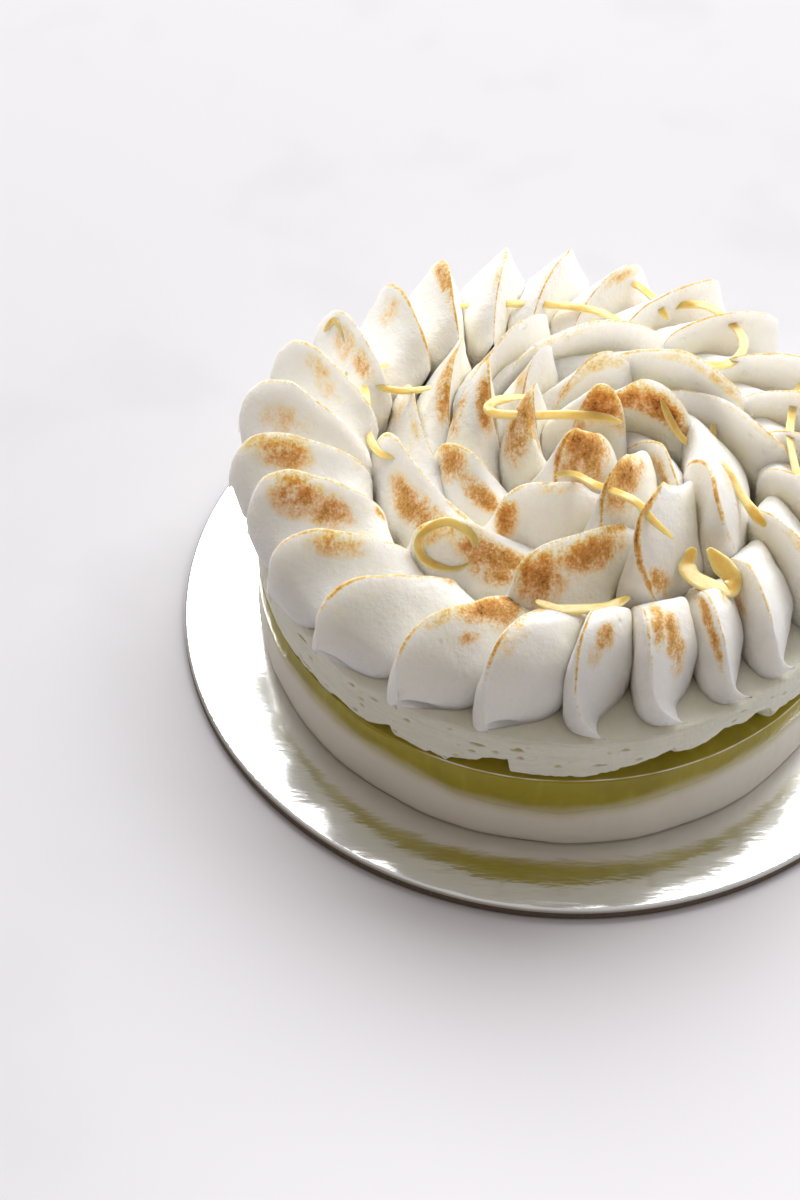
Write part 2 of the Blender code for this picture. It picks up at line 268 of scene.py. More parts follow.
# ---- materials ----
class Finish:
    """A Principled material and the few nodes that its patterns need."""

    def __init__(self, name, roughness, **constants):
        self.material = bpy.data.materials.new(name)
        self.material.use_nodes = True
        self.tree = self.material.node_tree
        self.shader = self.tree.nodes["Principled BSDF"]
        self.shader.inputs["Roughness"].default_value = roughness
        for label, value in constants.items():
            self.shader.inputs[label.replace("_", " ")].default_value = value
        self.place = self.tree.nodes.new("ShaderNodeTexCoord").outputs["Object"]

    def attribute(self, name):
        node = self.tree.nodes.new("ShaderNodeAttribute")
        node.attribute_name = name
        return Wire(self.tree, node.outputs["Fac"])

    def distance(self, spot):
        """Distance from a spot in the object's own space."""
        node = self.tree.nodes.new("ShaderNodeVectorMath")
        node.operation = "DISTANCE"
        self.tree.links.new(self.place, node.inputs[0])
        node.inputs[1].default_value = spot
        return Wire(self.tree, node.outputs["Value"])

    def stretched(self, scale, centre=(0.0, 0.0, 0.0)):
        node = self.tree.nodes.new("ShaderNodeMapping")
        node.inputs["Scale"].default_value = scale
        node.inputs["Location"].default_value = centre
        self.tree.links.new(self.place, node.inputs["Vector"])
        return node.outputs["Vector"]

    def grain(self, size, detail=2.0, rough=0.5, place=None):
        """Noise whose lumps are about size metres across, from 0 to 1."""
        node = self.tree.nodes.new("ShaderNodeTexNoise")
        node.inputs["Scale"].default_value = 1.0 / size
        node.inputs["Detail"].default_value = detail
        node.inputs["Roughness"].default_value = rough
        self.tree.links.new(place or self.place, node.inputs["Vector"])
        return Wire(self.tree, node.outputs["Fac"])

    def cells(self, size, place=None):
        node = self.tree.nodes.new("ShaderNodeTexVoronoi")
        node.inputs["Scale"].default_value = 1.0 / size
        self.tree.links.new(place or self.place, node.inputs["Vector"])
        return Wire(self.tree, node.outputs["Distance"])

    def blend(self, first, second, share):
        node = self.tree.nodes.new("ShaderNodeMix")
        node.data_type = "RGBA"
        for value, slot in ((first, node.inputs["A"]), (second, node.inputs["B"])):
            if isinstance(value, Wire):
                self.tree.links.new(value.socket, slot)
            else:
                slot.default_value = (*value[:3], 1.0)
        plug(self.tree, share, node.inputs["Factor"])
        return Wire(self.tree, [out for out in node.outputs if out.type == "RGBA"][0])

    def ramp(self, share, stops):
        node = self.tree.nodes.new("ShaderNodeValToRGB")
        bar = node.color_ramp
        while len(bar.elements) < len(stops):
            bar.elements.new(0.5)
        for element, (place, colour) in zip(bar.elements, stops):
            element.position = place
            element.color = (*colour[:3], 1.0)
        plug(self.tree, share, node.inputs["Fac"])
        return Wire(self.tree, node.outputs["Color"])

    def colour(self, wire):
        plug(self.tree, wire, self.shader.inputs["Base Color"])

    def roughness(self, wire):
        plug(self.tree, wire, self.shader.inputs["Roughness"])

    def relief(self, wire, depth, strength=1.0):
        node = self.tree.nodes.new("ShaderNodeBump")
        node.inputs["Strength"].default_value = strength
        node.inputs["Distance"].default_value = depth
        plug(self.tree, wire, node.inputs["Height"])
        previous = self.shader.inputs["Normal"]
        if previous.is_linked:
            self.tree.links.new(previous.links[0].from_socket, node.inputs["Normal"])
        self.tree.links.new(node.outputs["Normal"], previous)


def meringue_finish(looks):
    finish = Finish("torched_meringue", 0.55, Subsurface_Weight=0.75, Subsurface_Scale=0.007,
                    Subsurface_Radius=(1.0, 0.88, 0.72), Specular_IOR_Level=0.35)
    toast = finish.attribute("toast")
    speckle = finish.grain(0.0008, detail=4.0, rough=0.75)
    mottle = finish.grain(0.0028, detail=4.0, rough=0.65)
    cloud = finish.grain(0.008, detail=2.0)
    streaks = finish.grain(0.0022, detail=3.0, rough=0.6, place=finish.stretched((1.0, 0.35, 0.5)))
    ragged = (mottle - 0.5) * 0.8 + (cloud - 0.5) * 0.7 + (speckle - 0.5) * 1.2 + (streaks - 0.5) * 0.7
    heat = toast + ragged * toast.between(0.02, 0.45)
    brown = finish.ramp(heat.most(0.0), [
        (0.0, looks.meringue), (0.14, looks.meringue), (0.32, looks.blush), (0.55, looks.toast),
        (0.84, looks.char), (1.0, looks.burnt)])
    # Painted glow: a warm cream colour laid deep between the inner fins, low on each section, in place of light
    # scattered through the meringue; it fades where the fins are toasted.
    painted_glow = (1.0 - finish.attribute("rise")).between(0.25, 1.0) * finish.attribute("inner") * 0.8
    finish.colour(finish.blend(brown, looks.meringue_painted_glow, painted_glow * (1.0 - heat.between(0.1, 0.4))))
    finish.roughness(heat.between(0.0, 0.9) * 0.15 + 0.5)
    pits = finish.cells(0.0055).between(0.04, 0.22) * -1.0 + 1.0
    finish.relief(pits * finish.grain(0.012, detail=1.0).between(0.52, 0.62) * -1.0, 0.0008, 0.9)
    finish.relief(finish.grain(0.0022, detail=5.0, rough=0.65), 0.0009, 0.9)
    finish.relief(speckle * toast, 0.0005, 0.9)
    return finish.material


def mousse_finish(looks):
    finish = Finish("lemon_mousse", 0.62, Subsurface_Weight=0.3, Subsurface_Scale=0.003,
                    Subsurface_Radius=(1.0, 0.9, 0.6), Specular_IOR_Level=0.3)
    drag = finish.stretched((1.0, 1.0, 9.0))
    streaks = finish.grain(0.012, detail=4.0, place=drag)
    wall = finish.blend(looks.mousse, looks.mousse_shade, streaks.between(0.35, 0.8))
    # Painted shade: the pores and slots in the wall are coloured towards the olive of light jelly, darker than the
    # mousse around them.
    finish.colour(finish.blend(wall, looks.light_jelly_and_pore_shade, finish.attribute("hole") * 0.75))
    finish.relief(finish.grain(0.0012, detail=4.0), 0.0005, 0.8)
    finish.relief(finish.grain(0.004, detail=3.0, place=drag), 0.0006, 0.7)
    return finish.material


def cream_finish(looks):
    finish = Finish("bottom_cream", 0.5, Subsurface_Weight=0.3, Subsurface_Scale=0.003,
                    Subsurface_Radius=(1.0, 0.9, 0.8), Specular_IOR_Level=0.35)
    clouds = finish.grain(0.02, detail=3.0)
    stain = finish.attribute("stain")
    base = finish.blend(looks.cream, looks.cream_shade, clouds.between(0.4, 0.8))
    finish.colour(finish.blend(base, looks.jelly_seep, stain))
    finish.relief(finish.grain(0.003, detail=4.0), 0.0003, 0.4)
    return finish.material


def jelly_finish(looks):
    finish = Finish("lemon_jelly", 0.28, Subsurface_Weight=0.45, Subsurface_Scale=0.004,
                    Subsurface_Radius=(0.9, 0.9, 0.2), Specular_IOR_Level=0.5)
    streaks = finish.grain(0.0035, detail=3.0, place=finish.stretched((1.0, 1.0, 0.12)))
    clouds = finish.grain(0.014, detail=2.0)
    low = finish.attribute("low")
    body = finish.blend(looks.jelly, looks.light_jelly_and_pore_shade, streaks.between(0.5, 0.85) * 0.5)
    body = finish.blend(body, looks.jelly_dark, clouds.between(0.45, 0.75) * 0.7)
    body = finish.blend(body, looks.jelly_seep, low)
    # The thin white line along the jelly's top edge takes the cream's colour.
    finish.colour(finish.blend(body, looks.cream, finish.attribute("white_line")))
    finish.relief(finish.grain(0.002, detail=3.0, place=finish.stretched((1.0, 1.0, 0.3))), 0.0003, 0.5)
    return finish.material


def zest_finish(looks):
    finish = Finish("candied_zest", 0.28, Subsurface_Weight=0.7, Subsurface_Scale=0.003,
                    Subsurface_Radius=(1.0, 0.75, 0.35), Coat_Weight=0.4, Coat_Roughness=0.12)
    cloud = finish.grain(0.003, detail=3.0)
    edge = finish.attribute("edge")
    body = finish.blend(looks.zest, looks.zest_deep, cloud.between(0.4, 0.75))
    finish.colour(finish.blend(body, looks.zest_pale, edge))
    finish.relief(finish.grain(0.0009, detail=2.0), 0.00015, 0.6)
    return finish.material


def foil_finish(looks):
    finish = Finish("silver_foil", 0.16, Metallic=1.0)
    finish.colour(finish.blend(looks.foil, looks.foil_shade, finish.grain(0.03, detail=3.0).between(0.3, 0.9)))
    finish.roughness(finish.grain(0.02, detail=3.0) * 0.10 + 0.08)
    finish.relief(finish.grain(0.018, detail=2.0), 0.00016, 0.4)
    finish.relief(finish.grain(0.004, detail=3.0, place=finish.stretched((0.3, 1.0, 1.0))), 0.00022, 0.6)
    return finish.material


def card_edge_finish(looks):
    finish = Finish("card_edge", 0.8)
    finish.colour(finish.blend(looks.card_edge, looks.card_core, finish.grain(0.0012, detail=3.0)))
    finish.relief(finish.grain(0.0006, detail=2.0), 0.0001, 0.8)
    return finish.material


# ---- settings ----
def colour_setting(name, description, default):
    return FloatVectorProperty(name=name, description=description, default=default, size=3,
                               subtype="COLOR", min=0.0, max=1.0)


class CakeLooks(bpy.types.PropertyGroup):
    """Colours of the cake, its topping and its card."""
    meringue: colour_setting("Meringue", "Meringue that the torch missed", (0.935, 0.91, 0.865))
    # Painted glow deep between the inner fins, in place of light scattered through the meringue.
    meringue_painted_glow: colour_setting("Warm meringue", "Deep between the inner fins", (0.98, 0.90, 0.74))
    blush: colour_setting("Blush", "First colour under the torch", (0.91, 0.73, 0.47))
    toast: colour_setting("Toast", "Golden brown patches", (0.74, 0.42, 0.12))
    char: colour_setting("Char", "Darkest broad patches", (0.50, 0.23, 0.045))
    burnt: colour_setting("Burnt", "Burnt ridges and corners", (0.15, 0.05, 0.015))
    mousse: colour_setting("Mousse", "Lemon mousse", (0.86, 0.85, 0.735))
    mousse_shade: colour_setting("Mousse shade", "Dragged and drier mousse", (0.80, 0.79, 0.66))
    cream: colour_setting("Cream", "White cream at the bottom", (0.87, 0.83, 0.735))
    cream_shade: colour_setting("Cream shade", "Duller places in the cream", (0.83, 0.79, 0.68))
    jelly: colour_setting("Jelly", "Lemon jelly", (0.41, 0.335, 0.015))
    # Also painted into the mousse's pores and slots as the shade inside them.
    light_jelly_and_pore_shade: colour_setting("Light jelly", "Thin or streaked jelly", (0.56, 0.49, 0.08))
    jelly_dark: colour_setting("Dark jelly", "Thick jelly", (0.30, 0.245, 0.008))
    jelly_seep: colour_setting("Seeping jelly", "Where jelly and cream run into each other", (0.70, 0.64, 0.38))
    zest: colour_setting("Zest", "Candied lemon peel", (0.91, 0.60, 0.165))
    zest_deep: colour_setting("Deep zest", "Thick places in the peel", (0.87, 0.46, 0.055))
    zest_pale: colour_setting("Pale zest", "Sugared edges of the peel", (0.95, 0.75, 0.38))
    foil: colour_setting("Foil", "Silver face of the card", (0.86, 0.86, 0.85))
    foil_shade: colour_setting("Foil shade", "Duller places in the foil", (0.78, 0.78, 0.77))
    card_edge: colour_setting("Card edge", "Cut edge of the card", (0.085, 0.058, 0.044))
    card_core: colour_setting("Card core", "Lighter fibres in the cut edge", (0.16, 0.12, 0.09))
    floor: colour_setting("Floor", "Pale table top", (0.63, 0.62, 0.65))


class FinSizes(bpy.types.PropertyGroup):
    """Shape of the piped meringue fins."""
    along: IntProperty(name="Steps along", description="Mesh steps from nose to heel", default=60, min=8)
    around: IntProperty(name="Steps around", description="Mesh steps round a fin's section", default=56, min=8)
    lump: FloatProperty(name="Lumps", description="Height of the soft lumps from piping by hand",
                        default=0.0005, min=0.0, subtype="DISTANCE", unit="LENGTH")
    seed: IntProperty(name="Seed", description="Seed of everything that differs from fin to fin", default=11)


# ---- card ----
class CAKE_OT_card(bpy.types.Operator):
    """Make the round silver card with its cut grey edge"""
    bl_idname = "cake.card"
    bl_label = "Cake card"

    def execute(self, context):
        looks = context.scene.cake_looks
        bottom, top = CARD_LOW.z, CARD_HIGH.z
        edge = CARD_RADIUS
        profile = [(0.0, top), (edge * 0.5, top), (edge - 0.0014, top), (edge - 0.0008, top - 0.00004),
                   (edge - 0.0003, top - 0.00018), (edge, top - 0.0005), (edge, bottom + 0.0003),
                   (edge - 0.0003, bottom), (edge * 0.5, bottom), (0.0, bottom)]
        piece = turned("silver_card", profile, 256, Vector((0.0, 0.0, 0.0)))
        piece.data.materials.append(foil_finish(looks))
        piece.data.materials.append(card_edge_finish(looks))
        for face in piece.data.polygons:
            face.material_index = 1 if face.center.z < top - 0.0004 else 0
        piece.data.set_sharp_from_angle(angle=math.radians(35.0))
        settle(piece, "foil_card", "cake_card")
        return {"FINISHED"}


def turned(name, profile, steps, centre):
    """A profile of (radius, height) pairs, from the top middle to the bottom middle, turned round."""
    shape = bmesh.new()
    rings = []
    for radius, height in profile:
        if radius == 0.0:
            rings.append([shape.verts.new((centre.x, centre.y, height))] * steps)
            continue
        rings.append([shape.verts.new((centre.x + radius * math.cos(2 * math.pi * i / steps),
                                       centre.y + radius * math.sin(2 * math.pi * i / steps), height))
                      for i in range(steps)])
    for upper, lower in zip(rings, rings[1:]):
        for i in range(steps):
            j = (i + 1) % steps
            corners = [upper[i], lower[i], lower[j], upper[j]]
            face = [corner for n, corner in enumerate(corners) if corner not in corners[:n]]
            shape.faces.new(face)
    bmesh.ops.recalc_face_normals(shape, faces=shape.faces)
    mesh = bpy.data.meshes.new(name)
    shape.to_mesh(mesh)
    shape.free()
    mesh.shade_smooth()
    return link_piece(name, mesh)


# ---- layers ----
def wall_profile(node, steps):
    """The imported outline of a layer's wall: radius by height, for each turn."""
    radius, turn, height = polar_of(node_points(node))
    return radius, turn, height


def layer_grid(name, columns, attributes=None):
    """Skins a closed layer from columns of (radius, height), one column for each even turn."""
    steps = len(columns)
    rows = len(columns[0])
    turn = np.arange(steps) * 2 * np.pi / steps
    grid = np.array(columns)
    points = np.empty((steps, rows, 3))
    points[..., 0] = CAKE.x + grid[..., 0] * np.cos(turn)[:, None]
    points[..., 1] = CAKE.y + grid[..., 0] * np.sin(turn)[:, None]
    points[..., 2] = grid[..., 1]
    corners = points.reshape(-1, 3).tolist()
    under = len(corners)
    corners.append((CAKE.x, CAKE.y, grid[:, 0, 1].mean()))
    corners.append((CAKE.x, CAKE.y, grid[:, -1, 1].mean()))
    faces = []
    for i in range(steps):
        j = (i + 1) % steps
        a, b = i * rows, j * rows
        faces.append((under, b, a))
        faces.extend((a + k, b + k, b + k + 1, a + k + 1) for k in range(rows - 1))
        faces.append((under + 1, a + rows - 1, b + rows - 1))
    mesh = bpy.data.meshes.new(name)
    mesh.from_pydata(corners, [], faces)
    for label, values in (attributes or {}).items():
        layer = mesh.attributes.new(label, "FLOAT", "POINT")
        layer.data.foreach_set("value", np.append(np.asarray(values, float).ravel(), (0.0, 0.0)))
    mesh.shade_smooth()
    mesh.set_sharp_from_angle(angle=math.radians(55.0))
    return link_piece(name, mesh)


def waver(turn, seed, size):
    """Soft noise round the cake, from -1 to 1, with lumps of about size metres at the wall."""
    scale = CAKE_RADIUS / size
    return noise.noise(Vector((scale * math.cos(turn), scale * math.sin(turn), seed)))


def edge_height(node, pick):
    """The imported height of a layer's wall edge against the turn, as a function."""
    radius, turn, height = polar_of(node_points(node))
    at_wall = radius > CAKE_RADIUS - 0.0012
    middle = (height.min() + height.max()) / 2.0
    side = at_wall & ((height > middle) if pick == "top" else (height < middle))
    order = np.argsort(turn[side])
    turns = turn[side][order]
    heights = height[side][order]
    turns = np.concatenate([turns[-3:] - 360.0, turns, turns[:3] + 360.0])
    heights = np.concatenate([heights[-3:], heights, heights[:3]])
    return lambda at: float(np.interp(at % 360.0, turns, heights))


class CAKE_OT_cream(bpy.types.Operator):
    """Make the white cream at the bottom, with its uneven contact line and soft border"""
    bl_idname = "cake.cream"
    bl_label = "Bottom cream"

    def execute(self, context):
        border = cream_border()
        steps, rows = 720, 34
        columns, stain = [], []
        for i in range(steps):
            turn = 2 * math.pi * i / steps
            top = border_height(border, turn)
            foot = 0.0005 + 0.0004 * waver(turn, 7.7, 0.012)
            sag = foot_sag(math.degrees(turn))
            column = [(CAKE_RADIUS - 0.006, CREAM_LOW.z), (CAKE_RADIUS - foot - 0.0006 + sag, CREAM_LOW.z)]
            marks = [0.0, 0.0]
            for k in range(rows):
                share = k / (rows - 1)
                height = CREAM_LOW.z + 0.0003 + (top - CREAM_LOW.z - 0.0003) * share
                bulge = 0.0005 * math.sin(math.pi * share) - foot * (1.0 - share) ** 6 + sag * (1.0 - share)
                lump = wall_lump(turn, height, 1.0)
                column.append((CAKE_RADIUS + bulge + lump - 0.0004, height))
                marks.append(max(0.0, 1.0 - (top - height) / 0.0026) ** 1.4)
            column.append((CAKE_RADIUS - 0.004, top))
            marks.append(1.0)
            columns.append(column)
            stain.append(marks)
        piece = layer_grid("white_cream", columns, {"stain": stain})
        piece.data.materials.append(cream_finish(context.scene.cake_looks))
        settle(piece, "cream", "bottom_cream")
        return {"FINISHED"}


FOOT_SPREAD = 0.0022
FOOT_SPREAD_TURN = 274.0
FOOT_SPREAD_WIDTH = 42.0


def foot_sag(turn):
    """How far the soft cream's foot has sagged outward at a turn in degrees, most at the front."""
    apart = abs((turn - FOOT_SPREAD_TURN + 180.0) % 360.0 - 180.0)
    return FOOT_SPREAD * math.exp(-(apart / FOOT_SPREAD_WIDTH) ** 2)


def cream_border():
    """Where cream meets jelly at the wall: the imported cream's own top edge."""
    return edge_height("bottom_cream", "top")


def border_height(border, turn):
    """The cream's top edge with the uneven waves of a layer that was poured while soft."""
    return border(math.degrees(turn)) + 0.0006 * waver(turn, 2.2, 0.011) + 0.0004 * waver(turn, 3.1, 0.005)


def wall_lump(turn, height, strength):
    """Relief of a wall that was cast in a ring: broad waves, fine grain and a few pores."""
    place = Vector((CAKE_RADIUS * math.cos(turn), CAKE_RADIUS * math.sin(turn), height))
    broad = noise.noise(place * 60.0) * 0.0004
    fine = noise.noise(place * 420.0) * 0.00010
    return (broad + fine) * strength


WHITE_LINE_START = 242.0
WHITE_LINE_END = 322.0


def white_line_at(turn):
    """How strong the thin white line along the jelly's top edge is at a turn in degrees, along the front where the
    mousse's wall broke away.
    """
    return min(1.0, max(0.0, (turn - WHITE_LINE_START) / 6.0)) * min(1.0, max(0.0, (WHITE_LINE_END - turn) / 6.0))


class CAKE_OT_jelly(bpy.types.Operator):
    """Make the lemon jelly with its soft lower border and its ledge under the mousse"""
    bl_idname = "cake.jelly"
    bl_label = "Lemon jelly"

    def execute(self, context):
        border = cream_border()
        steps, rows = 720, 30
        columns, low, white_line = [], [], []
        for i in range(steps):
            turn = 2 * math.pi * i / steps
            bottom = border_height(border, turn)
            top = JELLY_HIGH.z + 0.0002 * waver(turn, 9.3, 0.01)
            fade = 0.0036 * (1.0 + 0.6 * waver(turn, 5.1, 0.009))
            line_share = white_line_at(math.degrees(turn)) * min(1.0, max(0.0, 0.8 + 0.9 * waver(turn, 6.6, 0.004)))
            column = [(CAKE_RADIUS - 0.006, bottom)]
            marks = [0.0]
            for k in range(rows):
                share = k / (rows - 1)
                height = bottom + (top - 0.0005 - bottom) * share
                bulge = 0.0003 * math.sin(math.pi * share)
                column.append((CAKE_RADIUS + bulge + wall_lump(turn, height, 1.0) - 0.0004, height))
                marks.append(max(0.0, 1.0 - (height - bottom) / fade) ** 1.2)
            column.extend([(CAKE_RADIUS - 0.00064, top - 0.00030), (CAKE_RADIUS - 0.00066, top - 0.00020),
                           (CAKE_RADIUS - 0.00078, top + 0.00004 * line_share),
                           (CAKE_RADIUS - 0.00095, top), (CAKE_RADIUS - 0.0014, top - 0.00005)])
            line_marks = [0.0] * (rows + 2) + [line_share, line_share, 0.0, 0.0]
            for inset in (0.0022, 0.004, 0.007, 0.011):
                wave = 0.0003 * noise.noise(Vector((inset * 900.0, turn * 30.0, 2.0)))
                column.append((CAKE_RADIUS - inset, top + wave))
                line_marks.append(0.0)
            marks.extend([0.0] * (len(line_marks) - len(marks)))
            columns.append(column)
            low.append(marks)
            white_line.append(line_marks)
        piece = layer_grid("lemon_jelly_layer", columns, {"low": low, "white_line": white_line})
        piece.data.materials.append(jelly_finish(context.scene.cake_looks))
        settle(piece, "jelly", "lemon_jelly")
        return {"FINISHED"}


# How high the mousse's lower edge is broken away in millimetres, by turn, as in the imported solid.
CHIPS = ((228.0, 0.0), (232.0, 0.7), (234.0, 1.8), (236.7, 3.7), (237.4, 1.2), (239.0, 0.8), (244.0, 0.2),
         (248.0, 0.0), (249.0, 1.6), (252.0, 2.6), (255.0, 4.0), (257.5, 5.6), (259.3, 6.4), (259.8, 1.6),
         (264.0, 1.3), (269.0, 1.1), (273.0, 1.3), (275.7, 1.9), (279.0, 3.0), (282.0, 4.6), (286.0, 5.9),
         (289.0, 7.7), (289.6, 5.6), (292.0, 5.4), (296.0, 6.4), (299.3, 9.6), (301.0, 8.2), (304.0, 7.5),
         (307.0, 8.6), (309.5, 6.7), (310.2, 2.8), (315.0, 3.3), (320.0, 1.6), (328.0, 0.2), (332.0, 0.0))
CHIP_DEPTH = 1.1


def chip_at(turn):
    """Height of the broken edge at a turn in degrees."""
    return MM * float(np.interp(turn, [place for place, _ in CHIPS], [height for _, height in CHIPS]))


class CAKE_OT_mousse(bpy.types.Operator):
    """Make the lemon mousse: porous wall with painted shade in its pores, ragged and chipped lower edge, soft rim"""
    bl_idname = "cake.mousse"
    bl_label = "Lemon mousse"

    def execute(self, context):
        steps, rows = 1080, 56
        bottom, top = MOUSSE_LOW.z, MOUSSE_HIGH.z
        columns, holes = [], []
        for i in range(steps):
            turn = 2 * math.pi * i / steps
            ragged = max(0.0, waver(turn, 1.7, 0.0045)) * 0.0012 + max(0.0, waver(turn, 4.4, 0.0016)) * 0.0007
            chip = chip_at(math.degrees(turn) % 360.0) * (1.0 + 0.12 * waver(turn, 8.8, 0.003)) + ragged
            depth = chip * CHIP_DEPTH + min(chip, 0.001) * 1.2
            column = [(CAKE_RADIUS - 0.014, bottom - 0.0002), (CAKE_RADIUS - depth - 0.002, bottom - 0.0002)]
            for k in range(5):
                share = k / 4.0
                column.append((CAKE_RADIUS - 0.0008 - depth * (1.0 - share) ** 1.5,
                               bottom + (chip + 0.0002) * share))
            marks = [0.0] * len(column)
            for k in range(1, rows):
                share = k / (rows - 1)
                height = bottom + chip + 0.0002 + (top - 0.0016 - bottom - chip) * share
                bulge = 0.0003 * math.sin(math.pi * share)
                place = Vector((CAKE_RADIUS * math.cos(turn), CAKE_RADIUS * math.sin(turn), height))
                hole = max(pore(place), scratch(place))
                # How deep the pore or slot is here: the mask of the painted shade inside it.
                marks.append(min(1.0, hole / 0.0007))
                lump = wall_lump(turn, height, 1.2) - hole
                round_in = 0.0004 * max(0.0, 1.0 - share * 12.0)
                column.append((CAKE_RADIUS + bulge + lump - round_in - 0.0003, height))
            for k in range(1, 7):
                angle = math.pi / 2 * k / 6.0
                column.append((CAKE_RADIUS - 0.0003 - 0.0014 * (1.0 - math.cos(angle)),
                               top - 0.0014 + 0.0014 * math.sin(angle)))
            for inset in (0.003, 0.006, 0.010, 0.02, 0.04):
                wave = 0.0003 * noise.noise(Vector((inset * 300.0, turn * 12.0, 5.0)))
                column.append((CAKE_RADIUS - inset, top + wave))
            columns.append(column)
            holes.append(marks + [0.0] * (len(column) - len(marks)))
        piece = layer_grid("lemon_mousse_layer", columns, {"hole": holes})
        piece.data.materials.append(mousse_finish(context.scene.cake_looks))
        settle(piece, "mousse", "top_mousse")
        return {"FINISHED"}


def pore(place):
    """Depth of the small round holes in the mousse's wall at a point."""
    distances, points = noise.voronoi(Vector((place.x, place.y, place.z * 1.6)) * 300.0)
    chosen = noise.cell(points[0] * 3.1) > 0.5
    hole = max(0.0, 1.0 - distances[0] / 0.3) if chosen else 0.0
    return 0.0007 * hole ** 0.5


def scratch(place):
    """Depth of the short level slots that the mould dragged in the mousse's wall at a point."""
    distances, points = noise.voronoi(Vector((place.x, place.y, place.z * 4.5)) * 95.0)
    chosen = noise.cell(points[0] * 7.3) > 0.35
    slot = max(0.0, 1.0 - distances[0] / 0.2) if chosen else 0.0
    return 0.0011 * slot ** 0.5


# ---- meringue ----
# Round a fin's section, by share of the way: how high it is, how far its front reaches towards the
# next fin's back, and how far its back reaches towards the fin before.
SECTION_RISE = ((0.0, 0.0), (0.05, 0.0), (0.13, 0.12), (0.25, 0.42), (0.37, 0.74), (0.46, 0.94), (0.5, 1.0),
                (0.54, 0.94), (0.63, 0.74), (0.75, 0.42), (0.87, 0.12), (0.95, 0.0), (1.0, 0.0))
# The same where fins lie close together: hollow faces, so that one flows into the next.
SECTION_HOLLOW = ((0.0, 0.0), (0.05, 0.0), (0.13, 0.03), (0.25, 0.15), (0.37, 0.46), (0.46, 0.86), (0.5, 1.0),
                  (0.54, 0.86), (0.63, 0.52), (0.75, 0.22), (0.87, 0.05), (0.95, 0.0), (1.0, 0.0))
SECTION_FRONT = ((0.0, 0.35), (0.05, 1.0), (0.13, 0.95), (0.25, 0.68), (0.37, 0.33), (0.46, 0.09),
                 (0.495, 0.03), (0.52, 0.0), (0.95, 0.0), (1.0, 0.35))
SECTION_BACK = ((0.0, 0.0), (0.505, 0.0), (0.54, 0.06), (0.63, 0.24), (0.75, 0.54), (0.87, 0.86), (0.95, 1.0),
                (1.0, 0.0))
# From nose to heel: how far in and how high the crest and the foot are, and how broad the fin is.
CREST_IN = ((0.0, 0.0), (0.1, 0.01), (0.22, 0.10), (0.4, 0.30), (0.6, 0.55), (0.8, 0.78), (0.93, 0.93), (1.0, 1.0))
CREST_UP = ((0.0, 0.10), (0.1, 0.38), (0.22, 0.70), (0.4, 0.93), (0.55, 1.0), (0.75, 0.95), (0.9, 0.84),
            (0.97, 0.72), (1.0, 0.55))
FOOT_IN = ((0.0, 0.0), (0.05, 0.025), (0.10, 0.08), (0.2, 0.21), (0.5, 0.50), (1.0, 0.98))
FOOT_UP = ((0.0, 0.10), (0.05, 0.03), (0.12, 0.0), (0.5, 0.0), (1.0, 0.0))
BREADTH = ((0.0, 0.12), (0.03, 0.38), (0.07, 0.64), (0.14, 0.87), (0.25, 1.0), (0.8, 1.0), (0.94, 0.75), (1.0, 0.3))
HOOK_LINE = ((0.0, 0.0), (0.05, 0.7), (0.16, 1.0), (1.0, 1.0))
SWIRL_LINE = ((0.0, 0.0), (0.10, 0.0), (0.30, 0.06), (0.55, 0.33), (0.78, 0.66), (1.0, 1.0))
PEAK_SWIRL = 0.33


def ridge_turn(turn, nose, swirl, heel, hook, radius):
    """Where a fin's ridge stands at a radius, in degrees."""
    reach = ((nose - radius) / (nose - heel)).most(0.0).least(1.0)
    return turn - reach.through(HOOK_LINE) * hook + reach.through(SWIRL_LINE) * swirl


